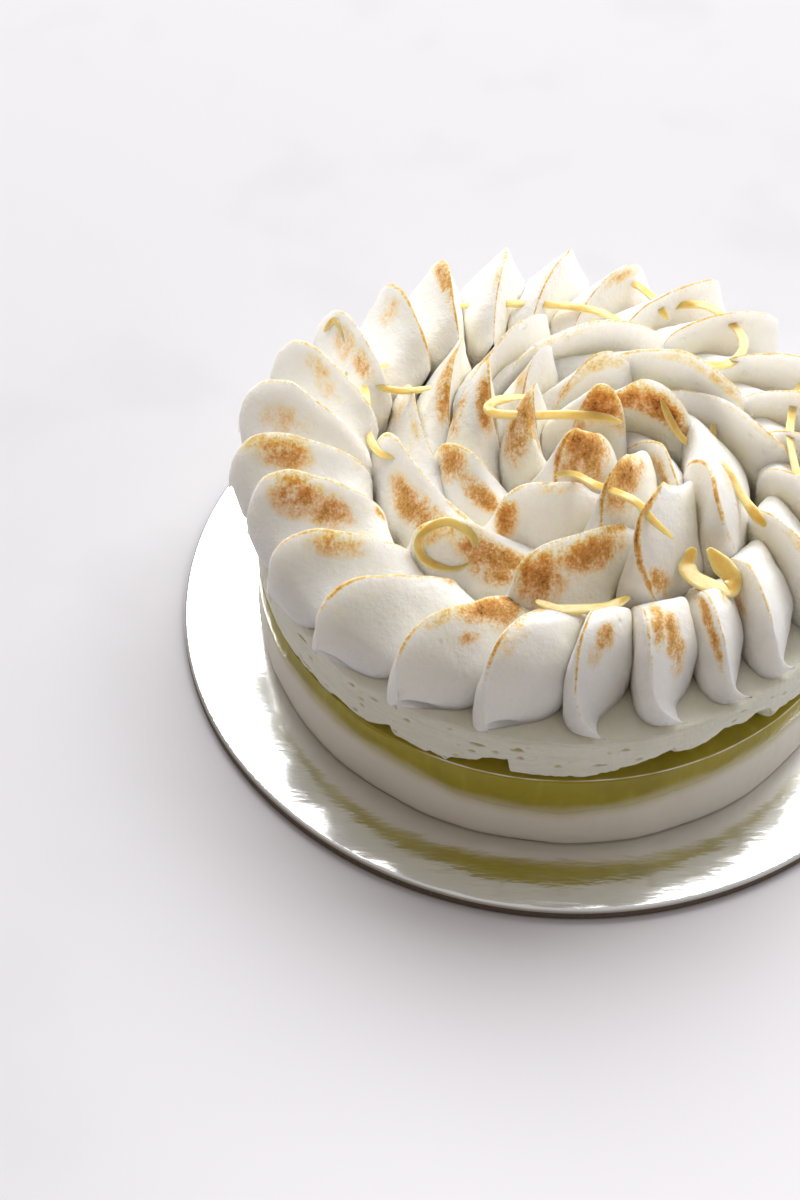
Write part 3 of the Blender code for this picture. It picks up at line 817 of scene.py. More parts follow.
def fin_rule(material):
    """One fin on each seed point: a grid bent into a closed shell between its own ridge and the next."""
    rule = GeometryRule("meringue_fins")
    steps_along = rule.size("Steps along", 60, "NodeSocketInt")
    steps_around = rule.size("Steps around", 56, "NodeSocketInt")
    heel = rule.size("Heel", 0.049)
    hook = rule.size("Hook", 2.0)
    lump = rule.size("Lump", 0.0009)
    heel_fill = rule.size("Heel fill", 0.3)
    centre_x = rule.size("Centre X", 0.0)
    centre_y = rule.size("Centre Y", 0.0)
    deck = rule.size("Deck", 0.04)
    grid = rule.node("GeometryNodeMeshGrid", Size_X=1.0, Size_Y=1.0, Vertices_X=steps_along,
                     Vertices_Y=steps_around)
    parts = rule.node("ShaderNodeSeparateXYZ", Vector=rule.wire(rule.node("GeometryNodeInputPosition")))
    raw = rule.wire(parts) + 0.5
    eased = mix(raw, (raw * math.pi).apply("COSINE") * -0.5 + 0.5, 0.7)
    keep_along = rule.node("GeometryNodeStoreNamedAttribute", {"data_type": "FLOAT"}, Name="along",
                           Geometry=rule.wire(grid), Value=eased)
    keep_around = rule.node("GeometryNodeStoreNamedAttribute", {"data_type": "FLOAT"}, Name="around",
                            Geometry=rule.wire(keep_along), Value=rule.wire(parts, 1) + 0.5)
    fins = rule.node("GeometryNodeInstanceOnPoints", Points=Wire(rule.tree, rule.entry.outputs["Geometry"]),
                     Instance=rule.wire(keep_around))
    shell = rule.node("GeometryNodeRealizeInstances", Geometry=rule.wire(fins))

    along, around = rule.read("along"), rule.read("around")
    nose, crest, chance = rule.read("nose"), rule.read("crest"), rule.read("chance")
    rise = around.through(SECTION_RISE)
    curved = mix(rise, around.through(SECTION_HOLLOW), along.between(0.02, 0.3) * rule.read("hollow"))
    filled = rule.read("valley") * along.between(0.0, 0.22) + heel_fill * along.between(0.5, 0.85)
    walled = around.between(0.04, 0.09) * (1.0 - around.between(0.91, 0.96))
    form = curved.most(0.0).least(1.0) * (1.0 - filled) + walled * filled
    wobble = rule.node("ShaderNodeTexNoise", {"noise_dimensions": "2D"}, Scale=1.0, Detail=1.0,
                       Vector=rule.wire(rule.node("ShaderNodeCombineXYZ", X=along * 3.0, Y=chance * 40.0)))
    ripple = (rule.wire(wobble) - 0.5) * 0.0025 * rise * rise
    tail = rule.read("tail")
    bulb = nose - tail
    reach_in = mix(along.through(FOOT_IN), along.through(CREST_IN), form)
    point = tail * (along * -16.0).apply("EXPONENT")
    front = around.through(SECTION_FRONT)
    slant = rule.read("slant") * front * (1.0 - reach_in)
    radius = bulb - (bulb - heel) * reach_in + point - slant
    crest_up = along.through(CREST_UP) * (1.0 - rule.read("droop") * along.between(0.55, 1.0))
    height = crest * mix(along.through(FOOT_UP), crest_up, form) + ripple
    ridge = ridge_turn(0.0, nose, rule.read("swirl"), heel, hook, radius)
    before = ridge_turn(rule.read("before_turn"), rule.read("before_nose"), rule.read("before_swirl"), heel, hook,
                        radius)
    after = ridge_turn(rule.read("after_turn"), rule.read("after_nose"), rule.read("after_swirl"), heel, hook,
                       radius)
    breadth = along.through(BREADTH)
    ahead = (after - ridge) * breadth * front * (1.0 - rule.read("after_back"))
    behind = (ridge - before) * breadth * around.through(SECTION_BACK) * rule.read("back")
    drawn = (along * -16.0).apply("EXPONENT") * rule.read("drag") + (along * -7.0).apply("EXPONENT") * rule.read("hooked")
    turn = (rule.read("turn") + ridge + ahead - behind + drawn) * (math.pi / 180.0)
    x = turn.apply("COSINE") * radius + centre_x
    y = turn.apply("SINE") * radius + centre_y
    bent = rule.node("GeometryNodeSetPosition", Geometry=rule.wire(shell),
                     Position=rule.wire(rule.node("ShaderNodeCombineXYZ", X=x, Y=y, Z=deck + height)))
    keep_rise = rule.node("GeometryNodeStoreNamedAttribute", {"data_type": "FLOAT"}, Name="rise",
                          Geometry=rule.wire(bent), Value=rise)
    closed = rule.node("GeometryNodeMergeByDistance", Geometry=rule.wire(keep_rise), Distance=0.00002)
    clouds = rule.node("ShaderNodeTexNoise", {"noise_dimensions": "4D"}, Scale=75.0, Detail=2.0, W=chance * 9.0)
    outward = rule.node("ShaderNodeVectorMath", {"operation": "SCALE"}, Scale=(rule.wire(clouds) - 0.5) * lump * 2.0)
    rule.tree.links.new(rule.node("GeometryNodeInputNormal").outputs[0], outward.inputs[0])
    lumpy = rule.node("GeometryNodeSetPosition", Geometry=rule.wire(closed), Offset=rule.wire(outward))
    dents = rule.node("ShaderNodeTexNoise", {"noise_dimensions": "4D"}, Scale=230.0, Detail=1.5, W=chance * 5.0)
    inward = rule.node("ShaderNodeVectorMath", {"operation": "SCALE"},
                       Scale=(rule.wire(dents) - 0.5) * lump * around.between(0.04, 0.12))
    rule.tree.links.new(rule.node("GeometryNodeInputNormal").outputs[0], inward.inputs[0])
    dented = rule.node("GeometryNodeSetPosition", Geometry=rule.wire(lumpy), Offset=rule.wire(inward))
    smooth = rule.node("GeometryNodeSetShadeSmooth", Geometry=rule.wire(dented))
    rule.finish(rule.wire(smooth), material)
    return rule


def point_mesh(name, rows, labels):
    """Seed points that carry one value for each label."""
    mesh = bpy.data.meshes.new(name)
    mesh.from_pydata([(0.0, 0.0, 0.001 * n) for n in range(len(rows))], [], [])
    for label in labels:
        layer = mesh.attributes.new(label, "FLOAT", "POINT")
        layer.data.foreach_set("value", [float(row[label]) for row in rows])
    return link_piece(name, mesh)


# For each ring: how far its noses lie over the ring outside it, and how far they hook back.
RING_OVERLAP = {"outer": 0.0, "second": 0.0035, "third": 0.0060, "heart": 0.0042}
RING_HOOK = {"outer": 2.0, "second": 4.0, "third": 5.0, "heart": 6.0}
RING_HEEL_FILL = {"outer": 0.22, "second": 0.2, "third": 0.15, "heart": 0.15}
# Outer fins whose noses the nozzle pulled to a point: its length and how far round it was dragged.
TAILS = {1: (0.002, 0.0), 5: (0.003, 2.0), 9: (0.002, 0.0), 18: (0.0012, 0.0), 19: (0.0055, 4.5), 20: (0.0038, 5.0),
         21: (0.0040, 2.0), 22: (0.0025, 2.0), 24: (0.002, 0.0)}
# Fins that reach further out, or whose noses hook further back, than their ring does.
REACHES = {("outer", 15): 0.0010, ("outer", 16): 0.0022, ("outer", 17): 0.0014, ("second", 1): 0.0085, ("second", 9): 0.0030, ("third", 7): 0.0010}
HOOKS = {("second", 10): 10.0, ("second", 11): 6.0}
# A ring's fins, and the fins that differ from their ring. Slant: how far the front foot falls back
# from the nose. Droop: how much of the crest is lost at the heel. Valley: how high the ground between
# two crests is filled. Hollow: how hollow the faces are, or how full below zero. Back: the share of
# the space to the fin before that the back takes.
RING_SHAPE = {
    "outer": {"slant": 0.0025, "droop": 0.0, "valley": 0.45, "hollow": 0.6, "back": 0.12},
    "second": {"slant": 0.0015, "droop": 0.1, "valley": 0.46, "hollow": 0.5, "back": 0.14},
    "third": {"slant": 0.0015, "droop": 0.3, "valley": 0.5, "hollow": 0.45, "back": 0.20},
    "heart": {"slant": 0.0010, "droop": 0.3, "valley": 0.5, "hollow": 0.35, "back": 0.24},
}
FIN_SHAPE = {
    ("outer", 3): {"back": 0.2, "hollow": 0.3}, ("outer", 4): {"back": 0.26, "hollow": 0.2},
    ("outer", 5): {"back": 0.28, "hollow": 0.1}, ("outer", 6): {"back": 0.30, "hollow": 0.0},
    ("outer", 7): {"back": 0.30, "hollow": 0.0}, ("outer", 8): {"back": 0.26, "hollow": 0.1},
    ("outer", 14): {"slant": 0.0010}, ("outer", 15): {"slant": 0.0015}, ("outer", 16): {"slant": 0.0035, "hollow": 0.2},
    ("outer", 17): {"slant": 0.0055, "valley": 0.52, "hollow": -0.1},
    ("outer", 18): {"slant": 0.0055, "valley": 0.58, "hollow": -0.6, "droop": 0.15},
    ("outer", 19): {"slant": 0.0080, "valley": 0.64, "hollow": -1.1, "droop": 0.25},
    ("outer", 20): {"slant": 0.0070, "valley": 0.58, "hollow": -0.7, "droop": 0.3, "back": 0.12},
    ("outer", 21): {"slant": 0.0060, "valley": 0.52, "hollow": -0.3, "droop": 0.2, "back": 0.20},
    ("outer", 22): {"slant": 0.0050, "hollow": 0.2, "droop": 0.2, "back": 0.18}, ("outer", 23): {"slant": 0.0050},
    ("outer", 24): {"slant": 0.0040},
    ("second", 5): {"droop": 0.4, "hollow": 0.2}, ("second", 8): {"droop": 0.25}, ("second", 9): {"hollow": 0.3},
    ("second", 10): {"droop": 0.0}, ("third", 7): {"droop": 0.15, "hollow": 0.0}, ("third", 6): {"droop": 0.1},
    ("third", 4): {"droop": 0.4, "hollow": 0.1}, ("heart", 2): {"droop": 0.5, "hollow": -0.2},
    ("heart", 3): {"hollow": -0.1},
}


def fin_rows(ring, sizes, chance):
    """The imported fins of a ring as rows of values, each with what it needs to know of its neighbours."""
    nodes = fin_nodes(ring)
    rows = []
    for number, node in enumerate(nodes, 1):
        fin = measure_fin(node)
        swirl = ((fin["end"] - fin["peak"]) % 360.0) / (1.0 - PEAK_SWIRL)
        extra = HOOKS.get((ring, number), 0.0)
        shape = {**RING_SHAPE[ring], **FIN_SHAPE.get((ring, number), {})}
        tail, drag = TAILS.get(number, (0.0, 0.0)) if ring == "outer" else (0.0, 0.0)
        rows.append({
            "turn": (fin["peak"] + RING_HOOK[ring] - PEAK_SWIRL * swirl) % 360.0,
            "nose": fin["nose"] + RING_OVERLAP[ring] + REACHES.get((ring, number), 0.0), "heel": fin["heel"],
            "crest": fin["crest"], "swirl": swirl, "hooked": extra, "tail": tail, "drag": drag,
            "chance": chance.random(), "number": number, **shape,
        })
    for number, row in enumerate(rows):
        for label, other in (("before", rows[number - 1]), ("after", rows[(number + 1) % len(rows)])):
            way = (row["turn"] - other["turn"]) if label == "before" else (other["turn"] - row["turn"])
            row[f"{label}_turn"] = (way % 360.0) * (-1.0 if label == "before" else 1.0)
            row[f"{label}_nose"] = other["nose"]
            row[f"{label}_swirl"] = other["swirl"]
            row[f"{label}_back"] = other["back"]
    return nodes, rows


FIN_LABELS = ("turn", "nose", "crest", "swirl", "hooked", "tail", "drag", "slant", "droop", "valley", "hollow", "back",
              "chance", "number", "before_turn", "before_nose", "before_swirl", "after_turn", "after_nose",
              "after_swirl", "after_back")


class CAKE_OT_meringue(bpy.types.Operator):
    """Pipe the four rings of meringue fins and torch them"""
    bl_idname = "cake.meringue"
    bl_label = "Meringue fins"

    def execute(self, context):
        sizes = context.scene.fin_sizes
        chance = random.Random(sizes.seed)
        rule = fin_rule(meringue_finish(context.scene.cake_looks))
        for ring in RING_NAMES:
            nodes, rows = fin_rows(ring, sizes, chance)
            piece = rule.run(point_mesh(f"seeds_{ring}", rows, FIN_LABELS), {
                "Steps along": sizes.along, "Steps around": sizes.around, "Lump": sizes.lump,
                "Heel": float(rows[0]["heel"]), "Hook": RING_HOOK[ring], "Heel fill": RING_HEEL_FILL[ring],
                "Centre X": CAKE.x, "Centre Y": CAKE.y, "Deck": DECK - 0.0002,
            }, f"meringue_fins_{ring}")
            torch(piece, ring, rows, chance)
            settle(piece, "meringue", *nodes)
        return {"FINISHED"}


# Where the flame lingered, by ring and fin: place from nose to heel, place round the section (the
# crest is at 0.5, the front before it), size in both, and heat.
TORCHED = {
    ("outer", 1): ((0.50, 0.55, 0.20, 0.04, 0.30),),
    ("outer", 3): ((0.40, 0.53, 0.30, 0.03, 0.28),),
    ("outer", 4): ((0.45, 0.53, 0.30, 0.03, 0.25),),
    ("outer", 5): ((0.50, 0.57, 0.20, 0.06, 0.45),),
    ("outer", 6): ((0.60, 0.44, 0.16, 0.05, 0.35),),
    ("outer", 7): ((0.55, 0.45, 0.20, 0.05, 0.40),),
    ("outer", 8): ((0.50, 0.45, 0.26, 0.05, 0.70),),
    ("outer", 9): ((0.45, 0.39, 0.12, 0.07, 0.40),),
    ("outer", 10): ((0.50, 0.38, 0.14, 0.07, 0.45), (0.73, 0.37, 0.12, 0.06, 0.60)),
    ("outer", 11): ((0.52, 0.42, 0.14, 0.06, 0.35), (0.62, 0.36, 0.12, 0.05, 0.35)),
    ("outer", 12): ((0.42, 0.33, 0.20, 0.07, 0.38), (0.60, 0.36, 0.14, 0.05, 0.25)),
    ("outer", 13): ((0.46, 0.41, 0.15, 0.09, 0.66), (0.32, 0.47, 0.12, 0.03, 0.50)),
    ("outer", 14): ((0.45, 0.40, 0.15, 0.09, 0.74), (0.60, 0.34, 0.13, 0.08, 0.72), (0.94, 0.42, 0.04, 0.04, 0.80)),
    ("outer", 15): ((0.56, 0.43, 0.15, 0.06, 0.52),),
    ("outer", 16): ((0.92, 0.45, 0.04, 0.04, 0.60),),
    ("outer", 17): ((0.93, 0.42, 0.09, 0.09, 1.45), (0.76, 0.38, 0.17, 0.13, 0.98), (0.54, 0.45, 0.16, 0.04, 0.48),
                    (0.48, 0.30, 0.07, 0.03, 0.48)),
    ("outer", 18): ((0.64, 0.46, 0.24, 0.05, 0.60), (0.46, 0.42, 0.16, 0.06, 0.36)),
    ("outer", 19): ((0.38, 0.34, 0.09, 0.05, 0.66), (0.28, 0.38, 0.07, 0.04, 0.40), (0.35, 0.49, 0.30, 0.012, 0.85)),
    ("outer", 20): ((0.50, 0.42, 0.18, 0.04, 0.85), (0.36, 0.33, 0.15, 0.045, 0.95), (0.24, 0.29, 0.08, 0.04, 0.70)),
    ("outer", 21): ((0.45, 0.66, 0.26, 0.07, 0.85), (0.62, 0.33, 0.12, 0.05, 0.52)),
    ("outer", 22): ((0.50, 0.50, 0.25, 0.01, 0.60), (0.60, 0.85, 0.14, 0.06, 0.50)),
    ("outer", 23): ((0.60, 0.55, 0.20, 0.05, 0.35),),
    ("second", 1): ((0.55, 0.54, 0.30, 0.03, 0.35),),
    ("second", 2): ((0.45, 0.56, 0.30, 0.04, 0.42),),
    ("second", 3): ((0.75, 0.55, 0.20, 0.06, 0.40),),
    ("second", 4): ((0.75, 0.42, 0.14, 0.10, 0.60),),
    ("second", 5): ((0.66, 0.44, 0.16, 0.10, 0.75), (0.30, 0.40, 0.10, 0.06, 0.40)),
    ("second", 6): ((0.25, 0.38, 0.12, 0.09, 0.38), (0.60, 0.42, 0.14, 0.06, 0.30)),
    ("second", 7): ((0.48, 0.29, 0.15, 0.08, 0.78), (0.86, 0.46, 0.06, 0.04, 0.75), (0.62, 0.34, 0.12, 0.05, 0.50)),
    ("second", 8): ((0.55, 0.33, 0.14, 0.08, 0.85), (0.42, 0.27, 0.10, 0.06, 0.70), (0.42, 0.46, 0.24, 0.04, 0.48)),
    ("second", 9): ((0.32, 0.43, 0.13, 0.08, 0.90), (0.60, 0.36, 0.16, 0.10, 0.86), (0.84, 0.45, 0.10, 0.07, 0.90),
                    (0.46, 0.40, 0.24, 0.09, 0.50)),
    ("second", 10): ((0.45, 0.49, 0.34, 0.024, 1.30), (0.17, 0.40, 0.05, 0.05, 0.75), (0.88, 0.42, 0.10, 0.05, 0.45)),
    ("second", 11): ((0.50, 0.49, 0.30, 0.01, 0.75), (0.50, 0.38, 0.14, 0.06, 0.30)),
    ("third", 1): ((0.45, 0.66, 0.28, 0.10, 0.85), (0.77, 0.60, 0.16, 0.10, 1.00)),
    ("third", 2): ((0.55, 0.57, 0.30, 0.06, 0.45), (0.80, 0.50, 0.14, 0.10, 0.60)),
    ("third", 3): ((0.60, 0.40, 0.20, 0.08, 0.45),),
    ("third", 4): ((0.30, 0.26, 0.12, 0.08, 0.75), (0.65, 0.40, 0.14, 0.08, 0.75)),
    ("third", 5): ((0.38, 0.43, 0.13, 0.07, 0.80), (0.52, 0.31, 0.12, 0.07, 0.78)),
    ("third", 6): ((0.27, 0.46, 0.08, 0.05, 0.95), (0.68, 0.45, 0.20, 0.05, 0.40)),
    ("third", 7): ((0.55, 0.42, 0.22, 0.10, 0.95), (0.45, 0.49, 0.35, 0.01, 1.10)),
    ("third", 8): ((0.55, 0.66, 0.20, 0.07, 0.50), (0.70, 0.49, 0.20, 0.02, 0.50)),
    ("heart", 1): ((0.55, 0.56, 0.26, 0.14, 1.00),),
    ("heart", 2): ((0.58, 0.38, 0.20, 0.10, 0.85), (0.38, 0.29, 0.14, 0.08, 0.75)),
    ("heart", 3): ((0.50, 0.38, 0.25, 0.11, 0.95), (0.45, 0.49, 0.35, 0.01, 1.10)),
}
CREST_PLACE = 0.5
PATCH_HEAT = 0.92


def torch(piece, ring, rows, chance):
    """Brown the fins: a thin line along each crest, and soft patches where the flame lingered. Also store where the
    painted warm glow goes between the fins.
    """
    mesh = piece.data
    values = {}
    for label in ("along", "around", "rise", "number"):
        values[label] = np.empty(len(mesh.vertices))
        mesh.attributes[label].data.foreach_get("value", values[label])
    toast = np.zeros(len(mesh.vertices))
    along, around, rise = values["along"], values["around"], values["rise"]
    for row in rows:
        here = np.abs(values["number"] - row["number"]) < 0.1
        line = np.exp(-((1.0 - rise) / 0.02) ** 2) * chance.uniform(0.4, 0.62)
        amount = line * np.clip((along - 0.12) / 0.2, 0.0, 1.0)
        for spot_along, spot_around, long, wide, heat in TORCHED.get((ring, row["number"]), ()):
            glow = np.exp(-((along - spot_along) / long) ** 2 - ((around - spot_around) / wide) ** 2)
            patch = (1.0 - np.exp(-1.6 * glow)) * heat * PATCH_HEAT
            if spot_around < CREST_PLACE - 0.02:
                patch[around > CREST_PLACE + 0.005] *= 0.3
            if spot_around > CREST_PLACE + 0.02:
                patch[around < CREST_PLACE - 0.005] *= 0.3
            amount = np.maximum(amount, patch)
        for _ in range(2):
            faint = np.exp(-((along - chance.uniform(0.3, 0.9)) / chance.uniform(0.05, 0.15)) ** 2
                           - ((around - chance.uniform(0.25, 0.6)) / chance.uniform(0.02, 0.06)) ** 2)
            amount = np.maximum(amount, faint * chance.uniform(0.10, 0.22))
        toast[here] = amount[here]
    layer = mesh.attributes.new("toast", "FLOAT", "POINT")
    layer.data.foreach_set("value", toast)
    # Mask of the painted warm glow: every fin of the inner rings, and the heel half of each outer fin.
    inner = np.ones(len(toast)) if ring != "outer" else np.clip((along - 0.35) / 0.4, 0.0, 1.0)
    layer = mesh.attributes.new("inner", "FLOAT", "POINT")
    layer.data.foreach_set("value", inner)


# ---- candied zest ----
ZEST_THICKNESS = 0.0011
ZEST_STEPS = 90
ZEST_AROUND = 14
ZEST_BREADTH = 1.0
# The strips lie with their broad sides up and towards the cake's front.
ZEST_FACING = Vector((0.0, -0.18, 0.9))
# Strips of peel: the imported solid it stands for, its width, and the places it passes in millimetres,
# from the cake's middle and the mousse's top.
STRIPS = (
    ("zest_ring", 2.6, ((-24, -35.5, 17), (-23, -34.5, 20), (-24, -33, 23), (-27, -32, 25), (-30, -31, 25.5),
                        (-33.5, -31, 24), (-36, -31.5, 21.5), (-37, -32.5, 18.5), (-36, -34, 16),
                        (-33.5, -35.5, 15), (-30, -36.5, 15), (-26.5, -36.5, 16), (-23.5, -35, 18.5),
                        (-23.5, -33, 21.5))),
    ("zest_long", 2.6, ((-6, 14, 25), (-13, 12.5, 26), (-18, 10, 27), (-20, 6.5, 28), (-18, 4.5, 28),
                        (-11, 3.5, 28.5), (0, 4, 28.5), (8.5, 3.5, 28.5), (14, 3, 27))),
    ("zest_slim", 2.2, ((-3.5, -16.5, 28), (1, -18.5, 30), (6, -24, 32), (11, -31, 36.5), (15, -35.5, 38),
                        (18.5, -39, 36), (24, -40, 30.5))),
    ("zest_front", 2.9, ((-9, -53.5, 22.3), (-4, -55, 21.3), (3, -54, 20.3), (9, -52.5, 19.8), (14, -49, 19.3))),
    ("zest_fold", 4.8, ((30.5, -34, 21), (28.5, -37.5, 19), (30, -41.5, 18.5), (34.5, -44.5, 18.5),
                        (38.5, -44.5, 17.5), (39.5, -41.5, 18.5), (36.5, -38.5, 20.5), (33.5, -35.5, 22.5))),
    ("zest_side", 2.8, ((38.5, -9, 26), (42, -15.5, 23), (46, -21, 20.5), (49, -24, 18.5))),
    ("zest_right", 2.2, ((63, 31.5, 15), (60, 20, 18.5), (57.5, 7, 21), (57.5, -3, 21), (59, -12.5, 20))),
    ("zest_back", 2.4, ((-28, 60, 14), (-17, 58, 17), (-4, 56, 19), (8, 52, 21), (16, 45, 23.5))),
    ("zest_loop", 2.5, ((28, 57, 17), (35, 57, 19), (41, 53, 21), (47, 45, 21), (48, 38, 21), (44, 32, 21),
                        (38, 28, 24), (34, 27, 26.5))),
    ("", 2.4, ((20, 68, 17), (23, 64, 18), (26, 57, 20), (29, 52, 18))),
    ("", 2.0, ((24, 10, 29), (26.5, 8, 24), (30, 6, 19), (34, 5, 17), (38, 9, 17), (38.5, 12, 18.5))),
    ("", 2.2, ((-52, 28, 17), (-51, 17, 19.5), (-50.5, 10.5, 15), (-47.5, 3, 15), (-43, -2, 18))),
    ("", 2.0, ((-46, 34, 17), (-49.5, 27, 19), (-46.5, 22.5, 19), (-40, 20.5, 20), (-34, 22, 20))),
    ("", 2.2, ((-63, 47, 16), (-60, 47, 20), (-57, 41, 20), (-54, 32, 18), (-57, 30, 16))),
)


def spline(points, steps):
    """Samples a smooth line through a few points."""
    ends = [points[0] * 2.0 - points[1], *points, points[-1] * 2.0 - points[-2]]
    line = []
    for step in range(steps):
        place = step / (steps - 1) * (len(points) - 1)
        n = min(int(place), len(points) - 2)
        t = place - n
        a, b, c, d = ends[n:n + 4]
        line.append(0.5 * (2.0 * b + (c - a) * t + (2.0 * a - 5.0 * b + 4.0 * c - d) * t * t
                           + (3.0 * b - a - 3.0 * c + d) * t * t * t))
    return line


def fin_surface():
    """All fins in one tree that finds the nearest point of the meringue."""
    corners, faces = [], []
    for ring in RING_NAMES:
        mesh = bpy.data.objects[f"meringue_fins_{ring}"].data
        first = len(corners)
        corners.extend(tuple(corner.co) for corner in mesh.vertices)
        faces.extend(tuple(first + index for index in face.vertices) for face in mesh.polygons)
    return BVHTree.FromPolygons(corners, faces)


def ribbon(name, line, facings, width):
    """A soft flat strip along a line: its broad side faces along facings."""
    corners, faces, edge = [], [], []
    count = len(line)
    for n, (middle, facing) in enumerate(zip(line, facings)):
        ahead = (line[min(n + 1, count - 1)] - line[max(n - 1, 0)]).normalized()
        side = ahead.cross(facing).normalized()
        facing = side.cross(ahead).normalized()
        ending = min(1.0, 6.0 * (n + 0.4) / count, 6.0 * (count - n - 0.6) / count) ** 0.4
        half = width / 2.0 * ending * (1.0 + 0.10 * noise.noise(middle * 300.0))
        for k in range(ZEST_AROUND):
            angle = 2.0 * math.pi * k / ZEST_AROUND
            across = math.copysign(abs(math.cos(angle)) ** 0.7, math.cos(angle))
            over = math.copysign(abs(math.sin(angle)) ** 0.8, math.sin(angle))
            cup = 0.00018 * across * across
            corners.append(middle + side * half * across + facing * (ZEST_THICKNESS / 2.0 * over * ending + cup))
            edge.append(abs(across) ** 3)
    for n in range(count - 1):
        for k in range(ZEST_AROUND):
            j = (k + 1) % ZEST_AROUND
            a, b = n * ZEST_AROUND, (n + 1) * ZEST_AROUND
            faces.append((a + k, a + j, b + j, b + k))
    faces.append(tuple(range(ZEST_AROUND))[::-1])
    faces.append(tuple(range((count - 1) * ZEST_AROUND, count * ZEST_AROUND)))
    mesh = bpy.data.meshes.new(name)
    mesh.from_pydata([tuple(corner) for corner in corners], [], faces)
    layer = mesh.attributes.new("edge", "FLOAT", "POINT")
    layer.data.foreach_set("value", edge)
    shape = bmesh.new()
    shape.from_mesh(mesh)
    bmesh.ops.recalc_face_normals(shape, faces=shape.faces)
    shape.to_mesh(mesh)
    shape.free()
    mesh.shade_smooth()
    return link_piece(name, mesh)


class CAKE_OT_zest(bpy.types.Operator):
    """Lay curled strips of candied lemon peel over the fins"""
    bl_idname = "cake.zest"
    bl_label = "Candied zest"

    def execute(self, context):
        surface = fin_surface()
        material = zest_finish(context.scene.cake_looks)
        origin = Vector((CAKE.x, CAKE.y, DECK))
        for number, (node, width, places) in enumerate(STRIPS, 1):
            line = spline([origin + Vector(place) * MM for place in places], ZEST_STEPS)
            facings = []
            for middle in line:
                nearest = surface.find_nearest(middle)
                facings.append((nearest[1] * 0.3 + ZEST_FACING).normalized())
            for _ in range(12):
                facings = [(facings[max(0, n - 1)] + facings[n] + facings[min(len(facings) - 1, n + 1)]).normalized()
                           for n in range(len(facings))]
            name = f"{node}_strip" if node else f"zest_strip_{number:02d}"
            piece = ribbon(name, line, facings, width * MM * ZEST_BREADTH)
            piece.data.materials.append(material)
            settle(piece, "zest", *([node] if node else []))
        return {"FINISHED"}


# ---- stage ----
CAMERA_FROM_CARD = (-0.0432, -0.4516, 0.5111)
CAMERA_TILT = 48.57
CAMERA_ROLL = 1.02
CAMERA_LENS = 75.3


def look_matrix(spot, tilt, roll):
    """A camera that looks along +Y, tilted down and rolled."""
    ahead = Vector((0.0, math.cos(tilt), -math.sin(tilt)))
    side = Vector((1.0, 0.0, 0.0))
    up = side.cross(ahead)
    right = math.cos(roll) * side + math.sin(roll) * up
    top = math.cos(roll) * up - math.sin(roll) * side
    matrix = Matrix((right, top, -ahead)).transposed().to_4x4()
    matrix.translation = spot
    return matrix


WINDOW_SPOT = (0.45, 2.3, 2.2)


def room_light(tree):
    """A plain room that is brighter towards the window behind the cake than in front of it."""
    background = tree.nodes["Background"]
    way = tree.nodes.new("ShaderNodeTexCoord")
    parts = tree.nodes.new("ShaderNodeSeparateXYZ")
    tree.links.new(way.outputs["Generated"], parts.inputs[0])
    share = (Wire(tree, parts.outputs["Y"]) * 0.8 + Wire(tree, parts.outputs["X"]) * 0.5
             + Wire(tree, parts.outputs["Z"]) * 0.25).between(-0.6, 0.9)
    shade = tree.nodes.new("ShaderNodeMix")
    shade.data_type = "RGBA"
    colours = [socket for socket in shade.inputs if socket.type == "RGBA"]
    colours[0].default_value = (0.19, 0.155, 0.125, 1.0)
    colours[1].default_value = (0.64, 0.63, 0.63, 1.0)
    plug(tree, share, shade.inputs["Factor"])
    result = [socket for socket in shade.outputs if socket.type == "RGBA"][0]
    tree.links.new(result, background.inputs["Color"])
    background.inputs["Strength"].default_value = 1.0


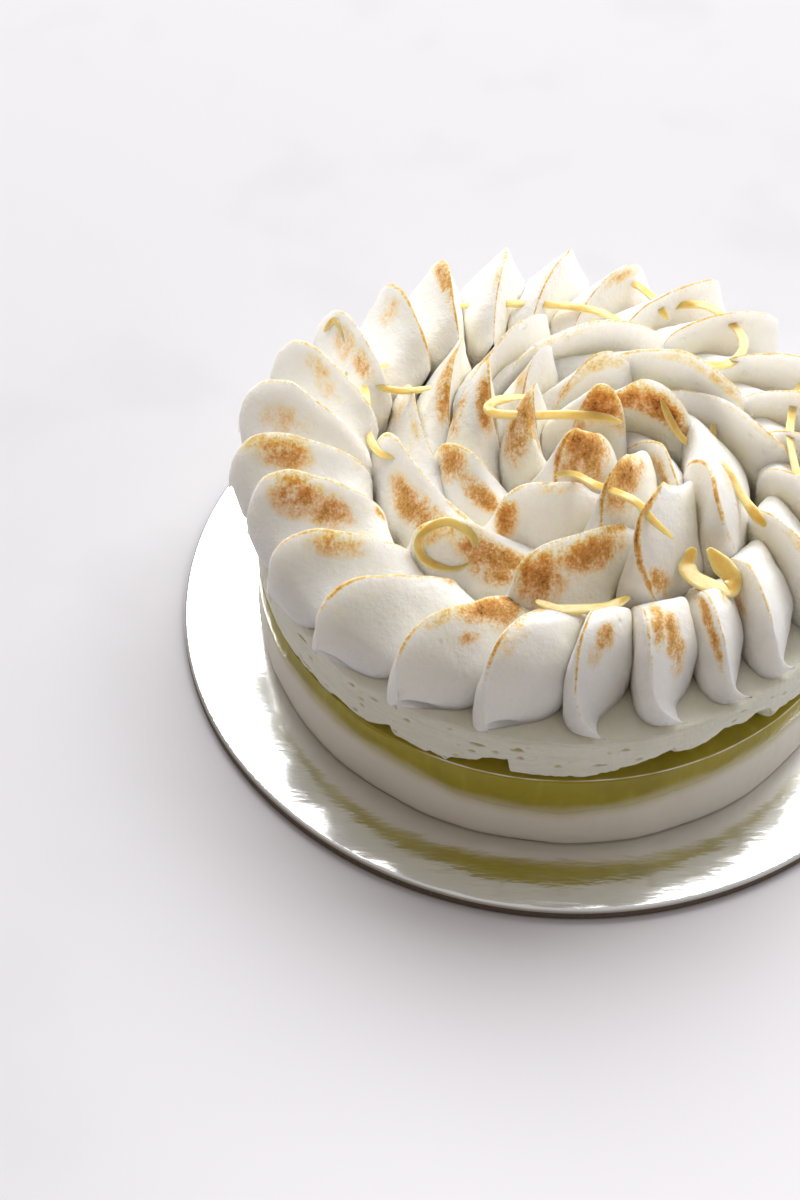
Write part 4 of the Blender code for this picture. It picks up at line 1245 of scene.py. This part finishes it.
class CAKE_OT_stage(bpy.types.Operator):
    """Set up the pale table top with painted light around the card, the soft light and the camera"""
    bl_idname = "cake.stage"
    bl_label = "Stage"

    def execute(self, context):
        scene = context.scene
        lens = bpy.data.cameras.new("camera")
        lens.lens = CAMERA_LENS
        lens.sensor_width = 36.0
        camera = bpy.data.objects.new("camera", lens)
        scene.collection.objects.link(camera)
        camera.matrix_world = look_matrix(Vector(CAMERA_FROM_CARD) + Vector((0.0, 0.0, CARD_HIGH.z)),
                                          math.radians(CAMERA_TILT), math.radians(CAMERA_ROLL))
        scene.camera = camera
        bpy.ops.mesh.primitive_plane_add(size=6.0, location=(0.0, 0.0, -0.0002))
        floor = context.object
        floor.name = "table_top"
        finish = Finish("pale_table", 0.75, Specular_IOR_Level=0.15)
        stone = finish.blend(scene.cake_looks.floor, [c * 0.96 for c in scene.cake_looks.floor],
                             finish.grain(0.05, detail=2.0).between(0.5, 0.7))
        # Painted light: the table is 1.24 times brighter near a spot just in front of the card, fading out between 8
        # and 26 cm from it, which lifts the shade that the cake and card cast there.
        finish.colour(finish.blend([c * 1.24 for c in scene.cake_looks.floor], stone,
                                   finish.distance((0.05, -0.12, 0.0)).between(0.08, 0.26)))
        floor.data.materials.append(finish.material)
        world = bpy.data.worlds.new("soft_room")
        scene.world = world
        world.use_nodes = True
        room_light(world.node_tree)
        light = bpy.data.lights.new("window", "AREA")
        light.shape = "RECTANGLE"
        light.size, light.size_y = 4.6, 2.2
        light.energy = 185.0
        lamp = bpy.data.objects.new("window", light)
        scene.collection.objects.link(lamp)
        lamp.location = WINDOW_SPOT
        lamp.rotation_euler = (-Vector(WINDOW_SPOT)).to_track_quat("-Z", "Y").to_euler()
        scene.view_settings.view_transform = "Standard"
        return {"FINISHED"}


class CAKE_PT_panel(bpy.types.Panel):
    """Lists the cake's pieces and settings"""
    bl_idname = "CAKE_PT_panel"
    bl_label = "Lemon meringue cake"
    bl_space_type = "VIEW_3D"
    bl_region_type = "UI"
    bl_category = "Lemon cake"

    def draw(self, context):
        column = self.layout.column(align=True)
        for step in STEPS:
            column.operator(step.bl_idname)
        for group in (context.scene.fin_sizes, context.scene.cake_looks):
            box = self.layout.box()
            for name in group.bl_rna.properties.keys():
                if name not in ("rna_type", "name"):
                    box.prop(group, name)


STEPS = (CAKE_OT_card, CAKE_OT_cream, CAKE_OT_jelly, CAKE_OT_mousse, CAKE_OT_meringue, CAKE_OT_zest, CAKE_OT_stage)
CLASSES = (CakeLooks, FinSizes, *STEPS, CAKE_PT_panel)


def register():
    for kind in CLASSES:
        bpy.utils.register_class(kind)
    bpy.types.Scene.cake_looks = PointerProperty(type=CakeLooks)
    bpy.types.Scene.fin_sizes = PointerProperty(type=FinSizes)


def unregister():
    del bpy.types.Scene.fin_sizes
    del bpy.types.Scene.cake_looks
    for kind in reversed(CLASSES):
        bpy.utils.unregister_class(kind)


def main():
    register()
    bpy.ops.cake.card()
    bpy.ops.cake.cream()
    bpy.ops.cake.jelly()
    bpy.ops.cake.mousse()
    bpy.ops.cake.meringue()
    bpy.ops.cake.zest()
    bpy.ops.cake.stage()


if __name__ == "__main__":
    main()
